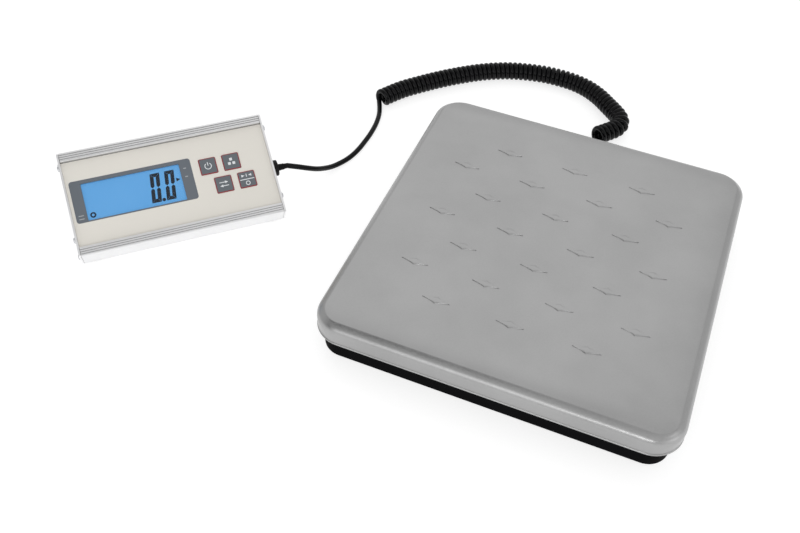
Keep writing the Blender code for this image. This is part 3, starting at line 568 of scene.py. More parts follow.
def pan_profile():
    """(inset, z, corner) from the panel's edge over the shoulder and down to the rolled hem."""
    profile = [(PANEL_INSET, PAN_TOP, PANEL_CORNER)]
    slope = 6
    for step in range(1, slope + 1):
        share = step / slope
        inset = PANEL_INSET + (CREASE_INSET - PANEL_INSET) * share
        corner = PANEL_CORNER + (PAN_CORNER - CREASE_INSET - PANEL_CORNER) * share
        profile.append((inset, PAN_TOP - CREASE_DROP * share ** SLOPE_POWER, corner))
    first = atan(SLOPE_POWER * CREASE_DROP / (PANEL_INSET - CREASE_INSET))
    for step in range(1, 9):
        angle = first + (pi / 2 - first) * step / 8
        inset = WALL_INSET + (CREASE_INSET - WALL_INSET) * (1 - sin(angle)) / (1 - sin(first))
        z = PAN_TOP - CREASE_DROP - SHOULDER_DROP * (1 - cos(angle) / cos(first))
        profile.append((inset, z, PAN_CORNER - inset))
    hem_radius, hem_z = 0.9 * MM, PAN_RIM + 0.9 * MM
    profile.append((WALL_INSET + 0.2 * MM, hem_z + 1.4 * MM, PAN_CORNER - WALL_INSET - 0.2 * MM))
    for step in range(7):
        angle = radians(72 - 162 * step / 6)
        inset = hem_radius * (1 - cos(angle))
        profile.append((inset, hem_z + hem_radius * sin(angle), PAN_CORNER - inset))
    return profile


def make_pan():
    mesh = bmesh.new()
    outer = pan_profile()
    inner = [(inset + PAN_SHEET, z - PAN_SHEET, corner - PAN_SHEET) for inset, z, corner in outer[6:15]]
    inner = [(PANEL_INSET + PAN_SHEET, PAN_TOP - PAN_SHEET, PANEL_CORNER)] + inner
    inner.append((PAN_SHEET + 0.9 * MM, PAN_RIM + 0.3 * MM, PAN_CORNER - 2 * MM))
    layers = [(PAN_X - 2 * i, PAN_Y - 2 * i, corner, z) for i, z, corner in outer + inner[::-1]]
    loops = skin(mesh, level_rings(layers, 12), cap_first=False)
    holes = []
    for centre in tread_centres():
        rings = []
        for x_share, y_share, rise in (
            (1, 1, 0), (0.965, 0.90, 0.42), (0.92, 0.80, 0.60), (0.5, 0.42, 0.66), (0.06, 0.05, 0.70)
        ):
            z = PAN_TOP + rise * MM
            rings.append([(x, y, z) for x, y in tread_outline(centre, x_share, y_share)])
        holes.append(skin(mesh, rings, cap_first=False)[0])
    fill(mesh, [loops[0], *holes])
    pan = finish_mesh(mesh, "pan_sheet", "pan", PLATFORM, 28)
    settle(pan, "pan", "pan_steel", "pan")


def make_base():
    wide, deep = tray_high.x - tray_low.x, tray_high.y - tray_low.y
    bottom, top = tray_low.z, tray_high.z
    floor = bottom + BASE_FLOOR
    round_off = 3 * MM
    layers = [(wide - 30 * MM, deep - 30 * MM, 8 * MM, bottom)]
    for step in range(7):
        angle = radians(90 * step / 6)
        inset = round_off * (1 - sin(angle))
        z = bottom + round_off * (1 - cos(angle))
        layers.append((wide - 2 * inset, deep - 2 * inset, BASE_CORNER - inset, z))
    layers.append((wide, deep, BASE_CORNER, top - 0.5 * MM))
    layers.append((wide - MM, deep - MM, BASE_CORNER - 0.5 * MM, top))
    inner = [(BASE_WALL - 0.4 * MM, top), (BASE_WALL, top - 0.5 * MM), (BASE_WALL, floor + 3 * MM)]
    inner += [(BASE_WALL + 0.9 * MM, floor + 0.9 * MM), (BASE_WALL + 3 * MM, floor)]
    for inset, z in inner:
        layers.append((wide - 2 * inset, deep - 2 * inset, BASE_CORNER - inset, z))
    tray = stack("base_shell", layers, "base", PLATFORM, 12, 30)
    gland_x, gland_z = BASE_GLAND_AT
    wall = [(deep / 2 - 6 * MM, GLAND_HOLE), (deep / 2 + 3 * MM, GLAND_HOLE)]
    cutter = turned("cutter", wall, "base", PLATFORM @ Matrix.Translation((gland_x, 0, gland_z)), "Y", 32)
    cut(tray, cutter)
    for node in ("fixed_bolt_1", "fixed_bolt_2"):
        low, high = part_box(node)
        hole = [(bottom - MM, 3.3 * MM), (floor + MM, 3.3 * MM)]
        at = Matrix.Translation(((low.x + high.x) / 2, (low.y + high.y) / 2, 0))
        cut(tray, turned("cutter", hole, "base", at, "Z", 32))
    settle(tray, "base", "black_plastic", "base_tray")


def make_ribs():
    """Moulded ribs on the tray's floor, clear of the load cell and the stops."""
    floor = tray_low.z + BASE_FLOOR
    half_x, half_y = (tray_high.x - tray_low.x) / 2, (tray_high.y - tray_low.y) / 2
    outline = rounded_rectangle(1.6 * MM, half_y * 0.62, 0.7 * MM, 4)
    for side in (-1, 1):
        for end in (-1, 1):
            x = side * half_x * 0.30
            y = end * half_y * 0.56
            if side < 0 < end:
                continue
            name = f"tray_rib_{'left' if side < 0 else 'right'}_{'front' if end < 0 else 'rear'}"
            at = PLATFORM @ Matrix.Translation((x, y, 0))
            rib = plate(name, outline, [], floor - 0.5 * MM, floor + 7 * MM, "base", at)
            settle(bevelled(rib, 0.4 * MM), "base", "black_plastic")


def foot_profile(tall, radius):
    """A rubber foot: rounded tread edge and a shallow ring in its sole."""
    return [
        (0.7 * MM, radius * 0.35), (0.7 * MM, radius * 0.45), (0.0, radius * 0.55), (0.0, radius - 1.2 * MM),
        (0.35 * MM, radius - 0.4 * MM), (1.0 * MM, radius - 0.1 * MM), (tall - 0.6 * MM, radius),
        (tall, radius - 0.4 * MM),
    ]


def make_feet():
    for node in sorted(frame["nodes"]):
        if not node.startswith("base_foot_"):
            continue
        low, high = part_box(node)
        centre = Matrix.Translation(((low.x + high.x) / 2, (low.y + high.y) / 2, low.z))
        profile = foot_profile(high.z - low.z, (high.x - low.x) / 2)
        foot = turned(f"{node}_rubber", profile, "rubber", centre, sides=48)
        settle(foot, "base", "rubber_black", node)
    for number, (x, y) in enumerate(HEAD_FEET_AT, 1):
        at = HEAD @ Matrix.Translation((x, y, HINGE_Z))
        foot = turned(f"head_foot_rubber_{number}", foot_profile(3.7 * MM, 6 * MM), "rubber", at, sides=40)
        settle(foot, "display_head", "rubber_black", f"head_foot_{number}")


# ---- display head


def notch(middle, half, top, floor, radius=0.0):
    right, left = middle + half, middle - half
    return [(right, top, radius), (right, floor, 0), (left, floor, 0), (left, top, radius)]


def housing_outline():
    far, top = HEAD_TALL, HEAD_THICK
    half, floor = GROOVE_WIDE / 2, top - GROOVE_DEEP
    soft, tiny = 1.6 * MM, 0.18 * MM
    corners = [(0, 0, soft), (far, 0, soft), (far, top, soft)]
    for inward in GROOVES_AT:
        corners += notch(far - inward, half, top, floor, tiny)
    corners += [(far - RAIL, top, 0.35 * MM), (far - RAIL, RECESS_Z, 0)]
    corners += [(RAIL, RECESS_Z, 0), (RAIL, top, 0.35 * MM)]
    for inward in reversed(GROOVES_AT):
        corners += notch(inward, half, top, floor, tiny)
    corners.append((0, top, soft))
    return rounded_outline(corners, 4)


def cavity_outline():
    wall, floor = 2.2 * MM, 2 * MM
    low_port, low_port_top, half, port_floor = 9.5 * MM, 8.5 * MM, 3.5 * MM, 12 * MM
    corners = [(low_port, floor), (HEAD_TALL - low_port, floor), (HEAD_TALL - low_port, low_port_top)]
    corners += [(HEAD_TALL - wall, low_port_top), (HEAD_TALL - wall, CAVITY_TOP)]
    corners += [point[:2] for point in notch(SCREW_AT[1][0], half, CAVITY_TOP, port_floor)]
    corners += [point[:2] for point in notch(SCREW_AT[0][0], half, CAVITY_TOP, port_floor)]
    return corners + [(wall, CAVITY_TOP), (wall, low_port_top), (low_port, low_port_top)]


def block(x, y, z, matrix):
    """A plain cutter between three pairs of limits."""
    outline = [(x[0], y[0]), (x[1], y[0]), (x[1], y[1]), (x[0], y[1])]
    return plate("cutter", outline, [], *z, "extrusion", matrix)


def in_painted_shade(middle):
    """Whether a point of the housing lies in a groove or on a rail's inner wall, where shade is painted with
    a darker copy of the finish.
    """
    inward = min(middle.y, HEAD_TALL - middle.y)
    wall = abs(inward - RAIL) < 0.05 * MM and middle.z > RECESS_Z
    near = min(abs(inward - at) for at in GROOVES_AT)
    low, high = HEAD_THICK - 1.2 * GROOVE_DEEP, HEAD_THICK - 0.05 * MM
    return wall or (near < 0.6 * GROOVE_WIDE and low < middle.z < high)


def make_housing():
    screws = [circle(SCREW_HOLE, at, 16) for at in SCREW_AT]
    housing = plate(
        "head_extrusion", housing_outline(), [cavity_outline(), *screws],
        -HEAD_HALF, HEAD_HALF, "extrusion", HEAD, "X", 25,
    )
    wall_z = (CAVITY_TOP - MM, RECESS_Z + MM)
    margin = 0.5 * MM
    x, y = WINDOW_X, WINDOW_Y
    cut(housing, block((x[0] - margin, x[1] + margin), (y[0] - margin, y[1] + margin), wall_z, HEAD))
    opening = KEY_SIZE / 2 + margin
    for key_x, key_y in KEYS.values():
        sides = (key_x - opening, key_x + opening), (key_y - opening, key_y + opening)
        cut(housing, block(*sides, wall_z, HEAD))
    cut(housing, block((-70.5 * MM, 70.5 * MM), (22.6 * MM, 35.2 * MM), (-MM, 3 * MM), HEAD))
    housing.data.shade_smooth()
    housing.data.set_sharp_from_angle(angle=radians(25))
    # Painted shade: faces in the grooves and on the rails' inner walls take the darker copy of the finish
    housing.data.materials.append(LOOKS["groove"])
    for face in housing.data.polygons:
        if in_painted_shade(face.center):
            face.material_index = 1
    settle(housing, "display_head", "extrusion", "head_housing")


def screw_head(name, at):
    """A pan-head screw with a cross recess, head outwards along +X."""
    radius, tall, start = 2.75 * MM, 1.9 * MM, PLATE_OUT + 0.3 * MM
    shank, tip = 1.5 * MM, 1.2 * MM
    profile = [(HEAD_HALF - 6.5 * MM, tip), (HEAD_HALF - 6 * MM, shank), (start, shank), (start, radius)]
    for step in range(7):
        angle = radians(80 * step / 6)
        profile.append((start + 0.5 * MM + (tall - 0.5 * MM) * sin(angle), radius * cos(angle) ** 0.6))
    screw = turned(name, profile, "zinc", at, "X", 32)
    arm, slot, deep = 1.5 * MM, 0.32 * MM, 1.0 * MM
    cross = [
        (arm, slot), (slot, slot), (slot, arm), (-slot, arm), (-slot, slot), (-arm, slot),
        (-arm, -slot), (-slot, -slot), (-slot, -arm), (slot, -arm), (slot, -slot), (arm, -slot),
    ]
    turn = Matrix.Rotation(radians(17), 4, "X")
    cut(screw, plate("cutter", cross, [], start + tall - deep, start + tall + MM, "zinc", at @ turn, "X"))
    return screw


def make_plates():
    outline = rounded_rectangle(HEAD_TALL, HEAD_THICK, 2 * MM, 6, (HEAD_TALL / 2, HEAD_THICK / 2))
    for name, side in (("left", -1), ("right", 1)):
        flip = Matrix.Identity(4) if side > 0 else Matrix.Rotation(pi, 4, "Z")
        holes = [circle(SCREW_HOLE, at, 20) for at in SCREW_AT]
        if side > 0:
            holes.append(circle(GLAND_HOLE, GLAND_AT, 32))
        ends = sorted((side * PLATE_IN, side * PLATE_OUT))
        made = plate(f"end_plate_{name}", outline, holes, *ends, "plate", HEAD, "X")
        settle(bevelled(made, 0.35 * MM), "display_head", "extrusion", f"head_plate_{name}")
        for number, (y, z) in enumerate(SCREW_AT, 1):
            at = HEAD @ Matrix.Translation((0, y, z)) @ flip
            screw = screw_head(f"end_screw_{name}_{number}", at)
            settle(screw, "display_head", "zinc_steel", f"plate_screw_{name}_{number}")


def printed(
    name, outline, low, finish, holes=(), matrix=HEAD, thick=0.06 * MM, body="display_head",
    slot="label_print",
):
    """A thin layer of ink."""
    return settle(plate(name, outline, list(holes), low, low + thick, finish, matrix), body, slot)


def make_label():
    middle = HEAD_TALL / 2
    half = middle - RAIL - 0.3 * MM
    outer = rounded_rectangle(2 * HEAD_HALF + 0.4 * MM, 2 * half, 0.6 * MM, 4, (0, middle))
    holes = [window_outline(0.3 * MM)]
    side = KEY_SIZE + 2 * KEY_SHADOW
    for centre in KEYS.values():
        holes.append(rounded_rectangle(side, side, 1.2 * MM, 5, centre))
    label = plate("face_sheet", outer, holes, FACE_Z - LABEL_THICK, FACE_Z, "label", HEAD)
    settle(label, "display_head", "label_print", "face_label")
    x, y = BEZEL_X, BEZEL_Y
    bezel = rounded_rectangle(x[1] - x[0], y[1] - y[0], 2.6 * MM, 8, ((x[0] + x[1]) / 2, (y[0] + y[1]) / 2))
    printed("bezel_print", bezel, FACE_Z, "bezel", [window_outline(0)], thick=0.08 * MM)


def window_outline(grow):
    (left, right), (near, far) = WINDOW_X, WINDOW_Y
    size = (right - left + 2 * grow, far - near + 2 * grow)
    return rounded_rectangle(*size, 0.8 * MM, 4, ((left + right) / 2, (near + far) / 2))


def make_display():
    window = plate("window_lens", window_outline(-0.05 * MM), [], FACE_Z - 0.8 * MM, FACE_Z, "window", HEAD)
    settle(window, "display_head", "window_clear", "window")
    low, high = LCD_Z
    panel = plate("lcd_glass", window_outline(0), [], low, high, "display", HEAD)
    settle(panel, "display_head", "display_blue", "lcd_panel")
    ink = high + 0.01 * MM
    for number, left in enumerate((-21.4 * MM, -8.4 * MM), 1):
        for segment, outline in digit_segments(left, 35.2 * MM).items():
            printed(f"digit_{number}_{segment}", outline, ink, "ink", slot="display_blue")
    printed("digit_point", circle(1.6 * MM, (-10.6 * MM, 36.6 * MM), 24), ink, "ink", slot="display_blue")
    arrow = [(3.9 * MM, 50.7 * MM), (7.7 * MM, 52.5 * MM), (3.9 * MM, 54.3 * MM)]
    printed("unit_pointer", arrow, ink, "ink", slot="display_blue")
    centre = (-72.8 * MM, 36.4 * MM)
    ring = circle(2.6 * MM, centre, 32)
    printed("zero_ring", ring, ink, "ink", [circle(1.25 * MM, centre, 32)], slot="display_blue")


def digit_segments(left, base, lit="abcdef"):
    """The segments of one leaning seven-segment digit, with mitred ends."""
    wide, tall, stroke, lean, gap = 8.6 * MM, 27.4 * MM, 3.35 * MM, 0.125, 0.12 * MM
    half = tall / 2
    flat = [(gap, 0), (wide - gap, 0), (wide - stroke - gap / 2, stroke), (stroke + gap / 2, stroke)]
    post = [
        (0, gap), (stroke, stroke + gap), (stroke, half - stroke * 0.45 - gap), (stroke / 2, half - gap),
        (0, half - stroke * 0.5 - gap),
    ]
    bar = [
        (stroke / 2 + gap, half), (stroke + gap, half - stroke / 2),
        (wide - stroke - gap, half - stroke / 2), (wide - stroke / 2 - gap, half),
        (wide - stroke - gap, half + stroke / 2), (stroke + gap, half + stroke / 2),
    ]
    upright = {
        "d": flat,
        "e": post,
        "f": [(x, tall - y) for x, y in post[::-1]],
        "a": [(x, tall - y) for x, y in flat[::-1]],
        "c": [(wide - x, y) for x, y in post[::-1]],
        "b": [(wide - x, tall - y) for x, y in post],
        "g": bar,
    }
    return {
        name: [(left + x + lean * y, base + y) for x, y in upright[name]] for name in lit
    }


def make_legends():
    """Plain marks where small print would be."""
    for number, (x, y) in enumerate(((13.4 * MM, 61.2 * MM), (13.4 * MM, 53.2 * MM)), 1):
        mark = rounded_rectangle(2.6 * MM, 0.9 * MM, 0.4 * MM, 4, (x, y))
        printed(f"unit_mark_{number}", mark, FACE_Z + 0.08 * MM, "pale")
    for number, y in enumerate((34.2 * MM, 37.2 * MM), 1):
        mark = rounded_rectangle(4.6 * MM, 0.8 * MM, 0.35 * MM, 4, (-82.8 * MM, y))
        printed(f"zero_mark_{number}", mark, FACE_Z + 0.08 * MM, "pale")


def arc_band(radius, wide, start, end, steps=24):
    """A band along an arc, as an outline."""
    angles = [radians(start + (end - start) * step / steps) for step in range(steps + 1)]
    outer = [((radius + wide / 2) * cos(a), (radius + wide / 2) * sin(a)) for a in angles]
    inner = [((radius - wide / 2) * cos(a), (radius - wide / 2) * sin(a)) for a in angles]
    return outer + inner[::-1]


def key_symbols():
    """Generic symbols: on and off, pieces, change, and clear over zero."""
    line = 0.75 * MM
    side = 2.6 * MM
    squares_at = ((-2 * MM, -1.8 * MM), (2 * MM, -1.8 * MM), (0, 2.1 * MM))
    squares = [rounded_rectangle(side, side, 0.4 * MM, 3, centre) for centre in squares_at]
    swap = []
    for side in (1, -1):
        y = side * 1.7 * MM
        points = ((-4, -0.38), (1.2, -0.38), (1.2, -1.35), (4, 0), (1.2, 1.35), (1.2, 0.38), (-4, 0.38))
        swap.append([(side * x * MM, y + side * v * MM) for x, v in points])
    clear = []
    for side in (1, -1):
        arrow = [(side * 4.6 * MM, 2.4 * MM), (side * 4.6 * MM, 5.0 * MM), (side * 1.6 * MM, 3.7 * MM)]
        clear.append(arrow[::side])
    clear.append(rounded_rectangle(line, 3.2 * MM, 0.3 * MM, 3, (0, 3.7 * MM)))
    clear.append(rounded_rectangle(13.2 * MM, 0.8 * MM, 0.3 * MM, 3))
    clear.append([(x, y - 3.7 * MM) for x, y in arc_band(1.75 * MM, line, 0, 359.9)])
    return {
        "key_power": [
            arc_band(2.9 * MM, line, -235, 55),
            rounded_rectangle(line, 3.6 * MM, 0.3 * MM, 3, (0, 2.1 * MM)),
        ],
        "key_pieces": squares,
        "key_mode": swap,
        "key_tare_zero": clear,
    }


def make_keys():
    symbols = key_symbols()
    for name, (x, y) in KEYS.items():
        at = HEAD @ Matrix.Translation((x, y, 0))
        mesh = bmesh.new()
        size = KEY_SIZE
        layers = [(5 * MM, 5 * MM, MM, 11.7 * MM), (5 * MM, 5 * MM, MM, 15.7 * MM)]
        layers += [(17.6 * MM, 17.6 * MM, 1.5 * MM, z) for z in (15.7 * MM, 16.9 * MM)]
        layers += [(size, size, 1.3 * MM, 16.9 * MM), (size, size, 1.3 * MM, KEY_TOP - 0.45 * MM)]
        layers += [(size - 0.25 * MM, size - 0.25 * MM, 1.2 * MM, KEY_TOP - 0.12 * MM)]
        layers += [(size - 0.7 * MM, size - 0.7 * MM, 1.0 * MM, KEY_TOP)]
        inner = size - 2 * KEY_BORDER
        layers += [(inner, inner, 0.7 * MM, KEY_TOP), (inner - 0.2 * MM, inner - 0.2 * MM, 0.6 * MM, KEY_TOP)]
        skin(mesh, level_rings(layers, 5))
        key = finish_mesh(mesh, f"{name}_cap", "red", at, 30, ("key",))
        for face in key.data.polygons:
            middle = face.center
            if middle.z > KEY_TOP - 0.05 * MM and max(abs(middle.x), abs(middle.y)) < inner / 2:
                face.material_index = 1
        settle(key, name, "key_grey", name)
        for number, outline in enumerate(symbols[name], 1):
            mark = f"{name}_mark_{number}"
            printed(mark, outline, KEY_TOP + 0.01 * MM, "white", matrix=at, body=name, slot="key_grey")


def gland_profile(start, flange, nose, barrel_from):
    """A moulded strain relief: barrel, rounded flange, and a ringed taper down to the cord."""
    profile = [
        (barrel_from, 3.4 * MM), (barrel_from + 0.6 * MM, 4 * MM), (start, 4 * MM), (start, 7.1 * MM),
        (start + 0.4 * MM, 7.5 * MM), (flange - 0.9 * MM, 7.5 * MM), (flange - 0.3 * MM, 7.1 * MM),
        (flange, 6.2 * MM),
    ]
    rings, first, last = 4, 3.3 * MM, 2.85 * MM
    for ring in range(rings):
        share = ring / rings
        radius = first + (last - first) * share
        length = (nose - flange) / rings
        at = flange + share * (nose - flange)
        profile += [(at + 0.05 * length, radius), (at + 0.62 * length, radius - 0.08 * MM)]
        profile += [(at + 0.72 * length, radius - 0.26 * MM), (at + 0.92 * length, radius - 0.28 * MM)]
    profile += [(nose - 0.3 * MM, last), (nose, last - 0.3 * MM)]
    return profile


def make_glands():
    at = HEAD @ Matrix.Translation((0, *GLAND_AT))
    profile = gland_profile(PLATE_OUT + 0.3 * MM, PLATE_OUT + 4.9 * MM, GLAND_NOSE, HEAD_HALF - 3.5 * MM)
    gland = turned("cord_gland_head", profile, "black", at, "X", 36)
    settle(gland, "display_head", "black_plastic", "head_gland")
    low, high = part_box("base_gland")
    wall = tray_high.y
    profile = gland_profile(wall + 0.3 * MM, wall + 3.8 * MM, high.y, wall - BASE_WALL - 0.3 * MM)
    profile = [(low.y, 5.4 * MM), (low.y + 0.6 * MM, 6 * MM), (profile[0][0], 6 * MM), *profile[2:]]
    at = PLATFORM @ Matrix.Translation((BASE_GLAND_AT[0], 0, BASE_GLAND_AT[1]))
    gland = turned("cord_gland_base", profile, "black", at, "Y", 36)
    settle(gland, "base", "black_plastic", "base_gland")
    return bpy.data.objects["cord_gland_head"], gland


def make_back():
    """The battery door, and the wire stand in its saddles."""
    x = DOOR_HALF_X
    outline = rounded_rectangle(2 * x, DOOR_Y[1] - DOOR_Y[0], 1.5 * MM, 5, (0, sum(DOOR_Y) / 2))
    door = plate("battery_cover", outline, [], DOOR_Z[0] + 0.4 * MM, DOOR_Z[1], "black", HEAD)
    settle(bevelled(door, 0.35 * MM), "battery_door", "black_plastic", "battery_door")
    for number in range(7):
        middle = (0, DOOR_Y[0] + (3.2 + 1.9 * number) * MM)
        rib = rounded_rectangle((26 - 2.2 * abs(number - 3)) * MM, 0.8 * MM, 0.39 * MM, 5, middle)
        ends = DOOR_Z[0], DOOR_Z[0] + 0.6 * MM
        grip = plate(f"battery_cover_grip_{number + 1}", rib, [], *ends, "black", HEAD)
        settle(bevelled(grip, 0.15 * MM), "battery_door", "black_plastic")
    corner = BAIL_HALF - BAIL_BEND
    path = [Vector((-BAIL_TAIL, 0, 0)), Vector((-BAIL_HALF - 2 * MM, 0, 0))]
    path += bend_points((-BAIL_HALF, 0), (-1, 0), (0, 1), 1.6 * MM)
    for side, first in ((-1, 180), (1, 90)):
        for step in range(9):
            angle = radians(first - 90 * step / 8)
            x = side * corner + BAIL_BEND * cos(angle)
            path.append(Vector((x, BAIL_LEG - BAIL_BEND * (1 - sin(angle)), 0)))
    path += bend_points((BAIL_HALF, 0), (0, 1), (1, 0), 1.6 * MM)
    path += [Vector((BAIL_HALF + 2 * MM, 0, 0)), Vector((BAIL_TAIL, 0, 0))]
    opened = Matrix.Rotation(-radians(fold["range_deg"][1] - 0.05), 4, "X")
    at = HEAD @ Matrix.Translation((0, *BAIL_PIVOT)) @ opened
    wire = tube("wire_stand", path, BAIL_WIRE, "zinc", at, 16)
    settle(wire, "bail_stand", "zinc_steel", "bail_stand")
    soft = 0.3 * MM
    flange, leg, slot = 5 * MM, 2.8 * MM, BAIL_WIRE + 0.3 * MM
    top, step_z, bottom, roof = -0.3 * MM, -1.1 * MM, -3.95 * MM, -3.35 * MM
    half = [(flange, top, 0), (flange, step_z, soft), (leg, step_z, soft), (leg, bottom, 0.9 * MM)]
    section = half + [(-y, z, r) for y, z, r in half[::-1]]
    section += [(-slot, top, 0), (-slot, roof, 0.8 * MM), (slot, roof, 0.8 * MM), (slot, top, 0)]
    section = [(BAIL_PIVOT[0] + y, z, r) for y, z, r in section]
    for name, side in (("left", -1), ("right", 1)):
        ends = sorted((side * (BAIL_HALF + 2.4 * MM), side * (BAIL_HALF + 7.4 * MM)))
        saddle = plate(f"wire_saddle_{name}", rounded_outline(section, 3), [], *ends, "black", HEAD, "X")
        settle(bevelled(saddle, 0.15 * MM), "display_head", "black_plastic", f"bail_saddle_{name}")


def bend_points(corner, before, after, radius, steps=4):
    """A small arc round a corner between two directions that point away from it."""
    here = Vector((*corner, 0))
    start, end = here + Vector((*before, 0)) * radius, here + Vector((*after, 0)) * radius
    centre = start + end - here
    return [centre + spoke for spoke in arc(start - centre, end - centre, steps)]


# ---- cord


def turn_length(axis, index):
    """How much of the axis a turn takes: more in a bend, where the turns touch on the inside and fan out."""
    near, far = max(index - 8, 0), min(index + 8, len(axis) - 1)
    before, after = axis[index] - axis[near], axis[far] - axis[index]
    if min(before.length, after.length) == 0:
        return COIL_PITCH
    curvature = before.angle(after) / ((axis[far] - axis[near]).length / 2)
    inside = 1 - curvature * (COIL_RADIUS - CORD_RADIUS)
    return COIL_PITCH + (MOST_PITCH - COIL_PITCH) * min(max((0.85 - inside) / 0.4, 0), 1)


def helix(axis_points):
    """The curly stretch's centre line, to the bottom of its last turn."""
    axis = evenly(axis_points, 1 * MM)
    phases = [COIL_START]
    for index in range(1, len(axis)):
        phases.append(phases[-1] + (axis[index] - axis[index - 1]).length / turn_length(axis, index))
    turns = round(phases[-1])
    fit = (turns - COIL_START) / (phases[-1] - COIL_START)
    phases = [COIL_START + (phase - COIL_START) * fit for phase in phases]
    radius = COIL_RADIUS - CORD_RADIUS
    points, last, low = [], len(axis) - 1, 0
    count = round((turns - COIL_START) * TURN_POINTS)
    for step in range(count + 1):
        phase = COIL_START + (turns - COIL_START) * step / count
        while low < last - 1 and phases[low + 1] < phase:
            low += 1
        share = (phase - phases[low]) / (phases[low + 1] - phases[low])
        near, far = max(low - 3, 0), min(low + 4, last)
        ahead = (axis[far] - axis[near]).normalized()
        angle = 2 * pi * phase
        arm = sin(angle) * UP.cross(ahead) - cos(angle) * UP
        points.append(axis[low].lerp(axis[low + 1], share) + radius * arm)
    return points


def shifted(route):
    return [Vector((x * MM + PLATFORM_X, y * MM, z * MM)) for x, y, z in route]


def make_cord():
    exit_at = HEAD @ Vector((GLAND_NOSE + 0.1 * MM, *GLAND_AT))
    straight = HEAD @ Vector((GLAND_NOSE + 3 * MM, *GLAND_AT))
    lead = [exit_at] + smooth_path([straight, *shifted(LEAD_ROUTE)], 3 * MM)
    coil_axis = smooth_path(shifted([(x, y, COIL_RADIUS / MM) for x, y in COIL_ROUTE]), 1 * MM)
    tail = smooth_path(shifted(TAIL_ROUTE), 3 * MM)
    path = lead[:-1] + helix(coil_axis) + tail[1:]
    cord = tube("curly_cord", path, CORD_RADIUS / cos(pi / CORD_SIDES), "cord", Matrix.Identity(4))
    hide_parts("cord_lead", "cord_coil", "cord_tail")
    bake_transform(cord)


# ---- pieces kept from the frame


def dress(finish, bevel, *names):
    """Gives CAD nodes a finish and slightly rounded edges."""
    for name in names:
        node = frame["nodes"][name]
        node.data.materials.clear()
        node.data.materials.append(LOOKS[finish])
        weld = node.modifiers.new("Weld", "WELD")
        weld.merge_threshold = 0.00002
        if bevel:
            bevelled(node, bevel, 2, 50)


def dress_inside():
    corners = ("front_left", "front_right", "rear_left", "rear_right")
    dress("zinc", 0.3 * MM, "lower_spacer", "upper_spacer", "spider")
    dress("zinc", 0.3 * MM, *[f"overload_stop_{c}" for c in corners])
    dress("zinc", 0.2 * MM, "fixed_bolt_1", "fixed_bolt_2", "live_bolt_1", "live_bolt_2")
    dress("rubber", 0.4 * MM, *[f"pan_cushion_{c}" for c in corners])
    dress("cell", 0.5 * MM, "load_cell")
    dress("diffuser", 0.2 * MM, "backlight")
    dress("board", 0.1 * MM, "main_board")
    dress("black", 0.2 * MM, "battery_tray")
    dress("sleeve", 0.2 * MM, "battery_cell_1", "battery_cell_2", "battery_cell_3")
    dress("cord", 0, "cell_cable")


# ---- stage


def make_stage():
    mesh = bmesh.new()
    reach = FLOOR_REACH
    corners = [(-reach, -reach, 0), (reach, -reach, 0), (reach, reach, 0), (-reach, reach, 0)]
    mesh.faces.new([mesh.verts.new(corner) for corner in corners])
    made, tree, shader = nodes_of("floor_pale")
    shader.inputs["Base Color"].default_value = (FLOOR_COLOUR, FLOOR_COLOUR, FLOOR_COLOUR, 1)
    shader.inputs["Roughness"].default_value = 0.7
    shader.inputs["Specular IOR Level"].default_value = 0.1
    shader.inputs["Emission Color"].default_value = (1, 1, 1, 1)
    shader.inputs["Emission Strength"].default_value = FLOOR_GLOW
    LOOKS["floor"] = made
    floor = finish_mesh(mesh, "floor", "floor", Matrix.Identity(4))


def area_light(name, at, aim, size, power):
    data = bpy.data.lights.new(name, "AREA")
    data.shape = "RECTANGLE"
    data.size, data.size_y = size
    data.energy = power
    light = bpy.data.objects.new(name, data)
    bpy.context.scene.collection.objects.link(light)
    light.location = at
    light.rotation_euler = (Vector(aim) - Vector(at)).to_track_quat("-Z", "Y").to_euler()


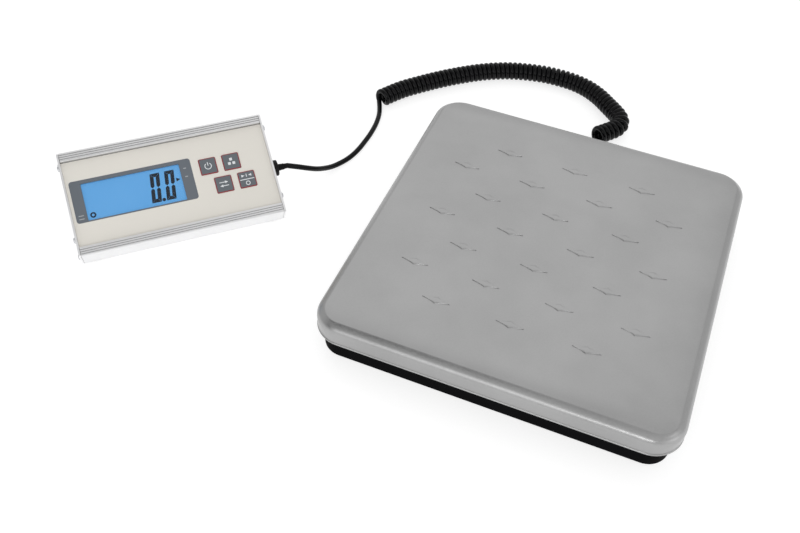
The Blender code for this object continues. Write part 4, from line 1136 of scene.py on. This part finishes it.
def make_lights():
    world = bpy.data.worlds.new("studio")
    bpy.context.scene.world = world
    world.use_nodes = True
    tree = world.node_tree
    background = tree.nodes["Background"]
    background.inputs["Color"].default_value = (1, 1, 1, 1)
    where = add(tree, "ShaderNodeTexCoord")
    level = None
    for direction, (outer, inner), kept in ROOM_PATCHES:
        toward = add(tree, "ShaderNodeVectorMath", {"operation": "DOT_PRODUCT"})
        toward.inputs[1].default_value = Vector(direction).normalized()
        tree.links.new(where.outputs["Generated"], toward.inputs[0])
        start = 1.0 if level else ROOM_LIGHT
        shade = range_between(
            tree, toward.outputs["Value"], start, start * kept, cos(radians(outer)), cos(radians(inner))
        )
        if level:
            both = add(tree, "ShaderNodeMath", {"operation": "MULTIPLY"})
            tree.links.new(level, both.inputs[0])
            tree.links.new(shade, both.inputs[1])
            shade = both.outputs[0]
        level = shade
    tree.links.new(level, background.inputs["Strength"])
    for name, at, size, power in LAMPS:
        area_light(name, at, LIGHT_AIM, size, power)


def make_camera():
    """The camera, from its place, heading, elevation and roll."""
    back = Vector((
        sin(CAMERA_AZIMUTH) * cos(CAMERA_ELEVATION),
        -cos(CAMERA_AZIMUTH) * cos(CAMERA_ELEVATION),
        sin(CAMERA_ELEVATION),
    ))
    right = (-back).cross(UP).normalized()
    up = back.cross(right)
    c, s = cos(CAMERA_ROLL), sin(CAMERA_ROLL)
    rolled_right = right * c + up * s
    rolled_up = up * c - right * s
    data = bpy.data.cameras.new("camera")
    data.lens, data.sensor_width = CAMERA_LENS, CAMERA_SENSOR
    data.clip_start, data.clip_end = 0.01, 50
    camera = bpy.data.objects.new("camera", data)
    bpy.context.scene.collection.objects.link(camera)
    matrix = Matrix((rolled_right, rolled_up, back)).transposed().to_4x4()
    camera.matrix_world = Matrix.Translation(CAMERA_AT) @ matrix
    bpy.context.scene.camera = camera


bpy.context.scene.view_settings.view_transform = "Standard"
make_camera()
make_lights()
make_stage()
make_pan()
make_base()
make_ribs()
make_feet()
make_housing()
make_plates()
make_label()
make_display()
make_legends()
make_keys()
cord_glands = make_glands()
make_back()
make_cord()
dress_inside()
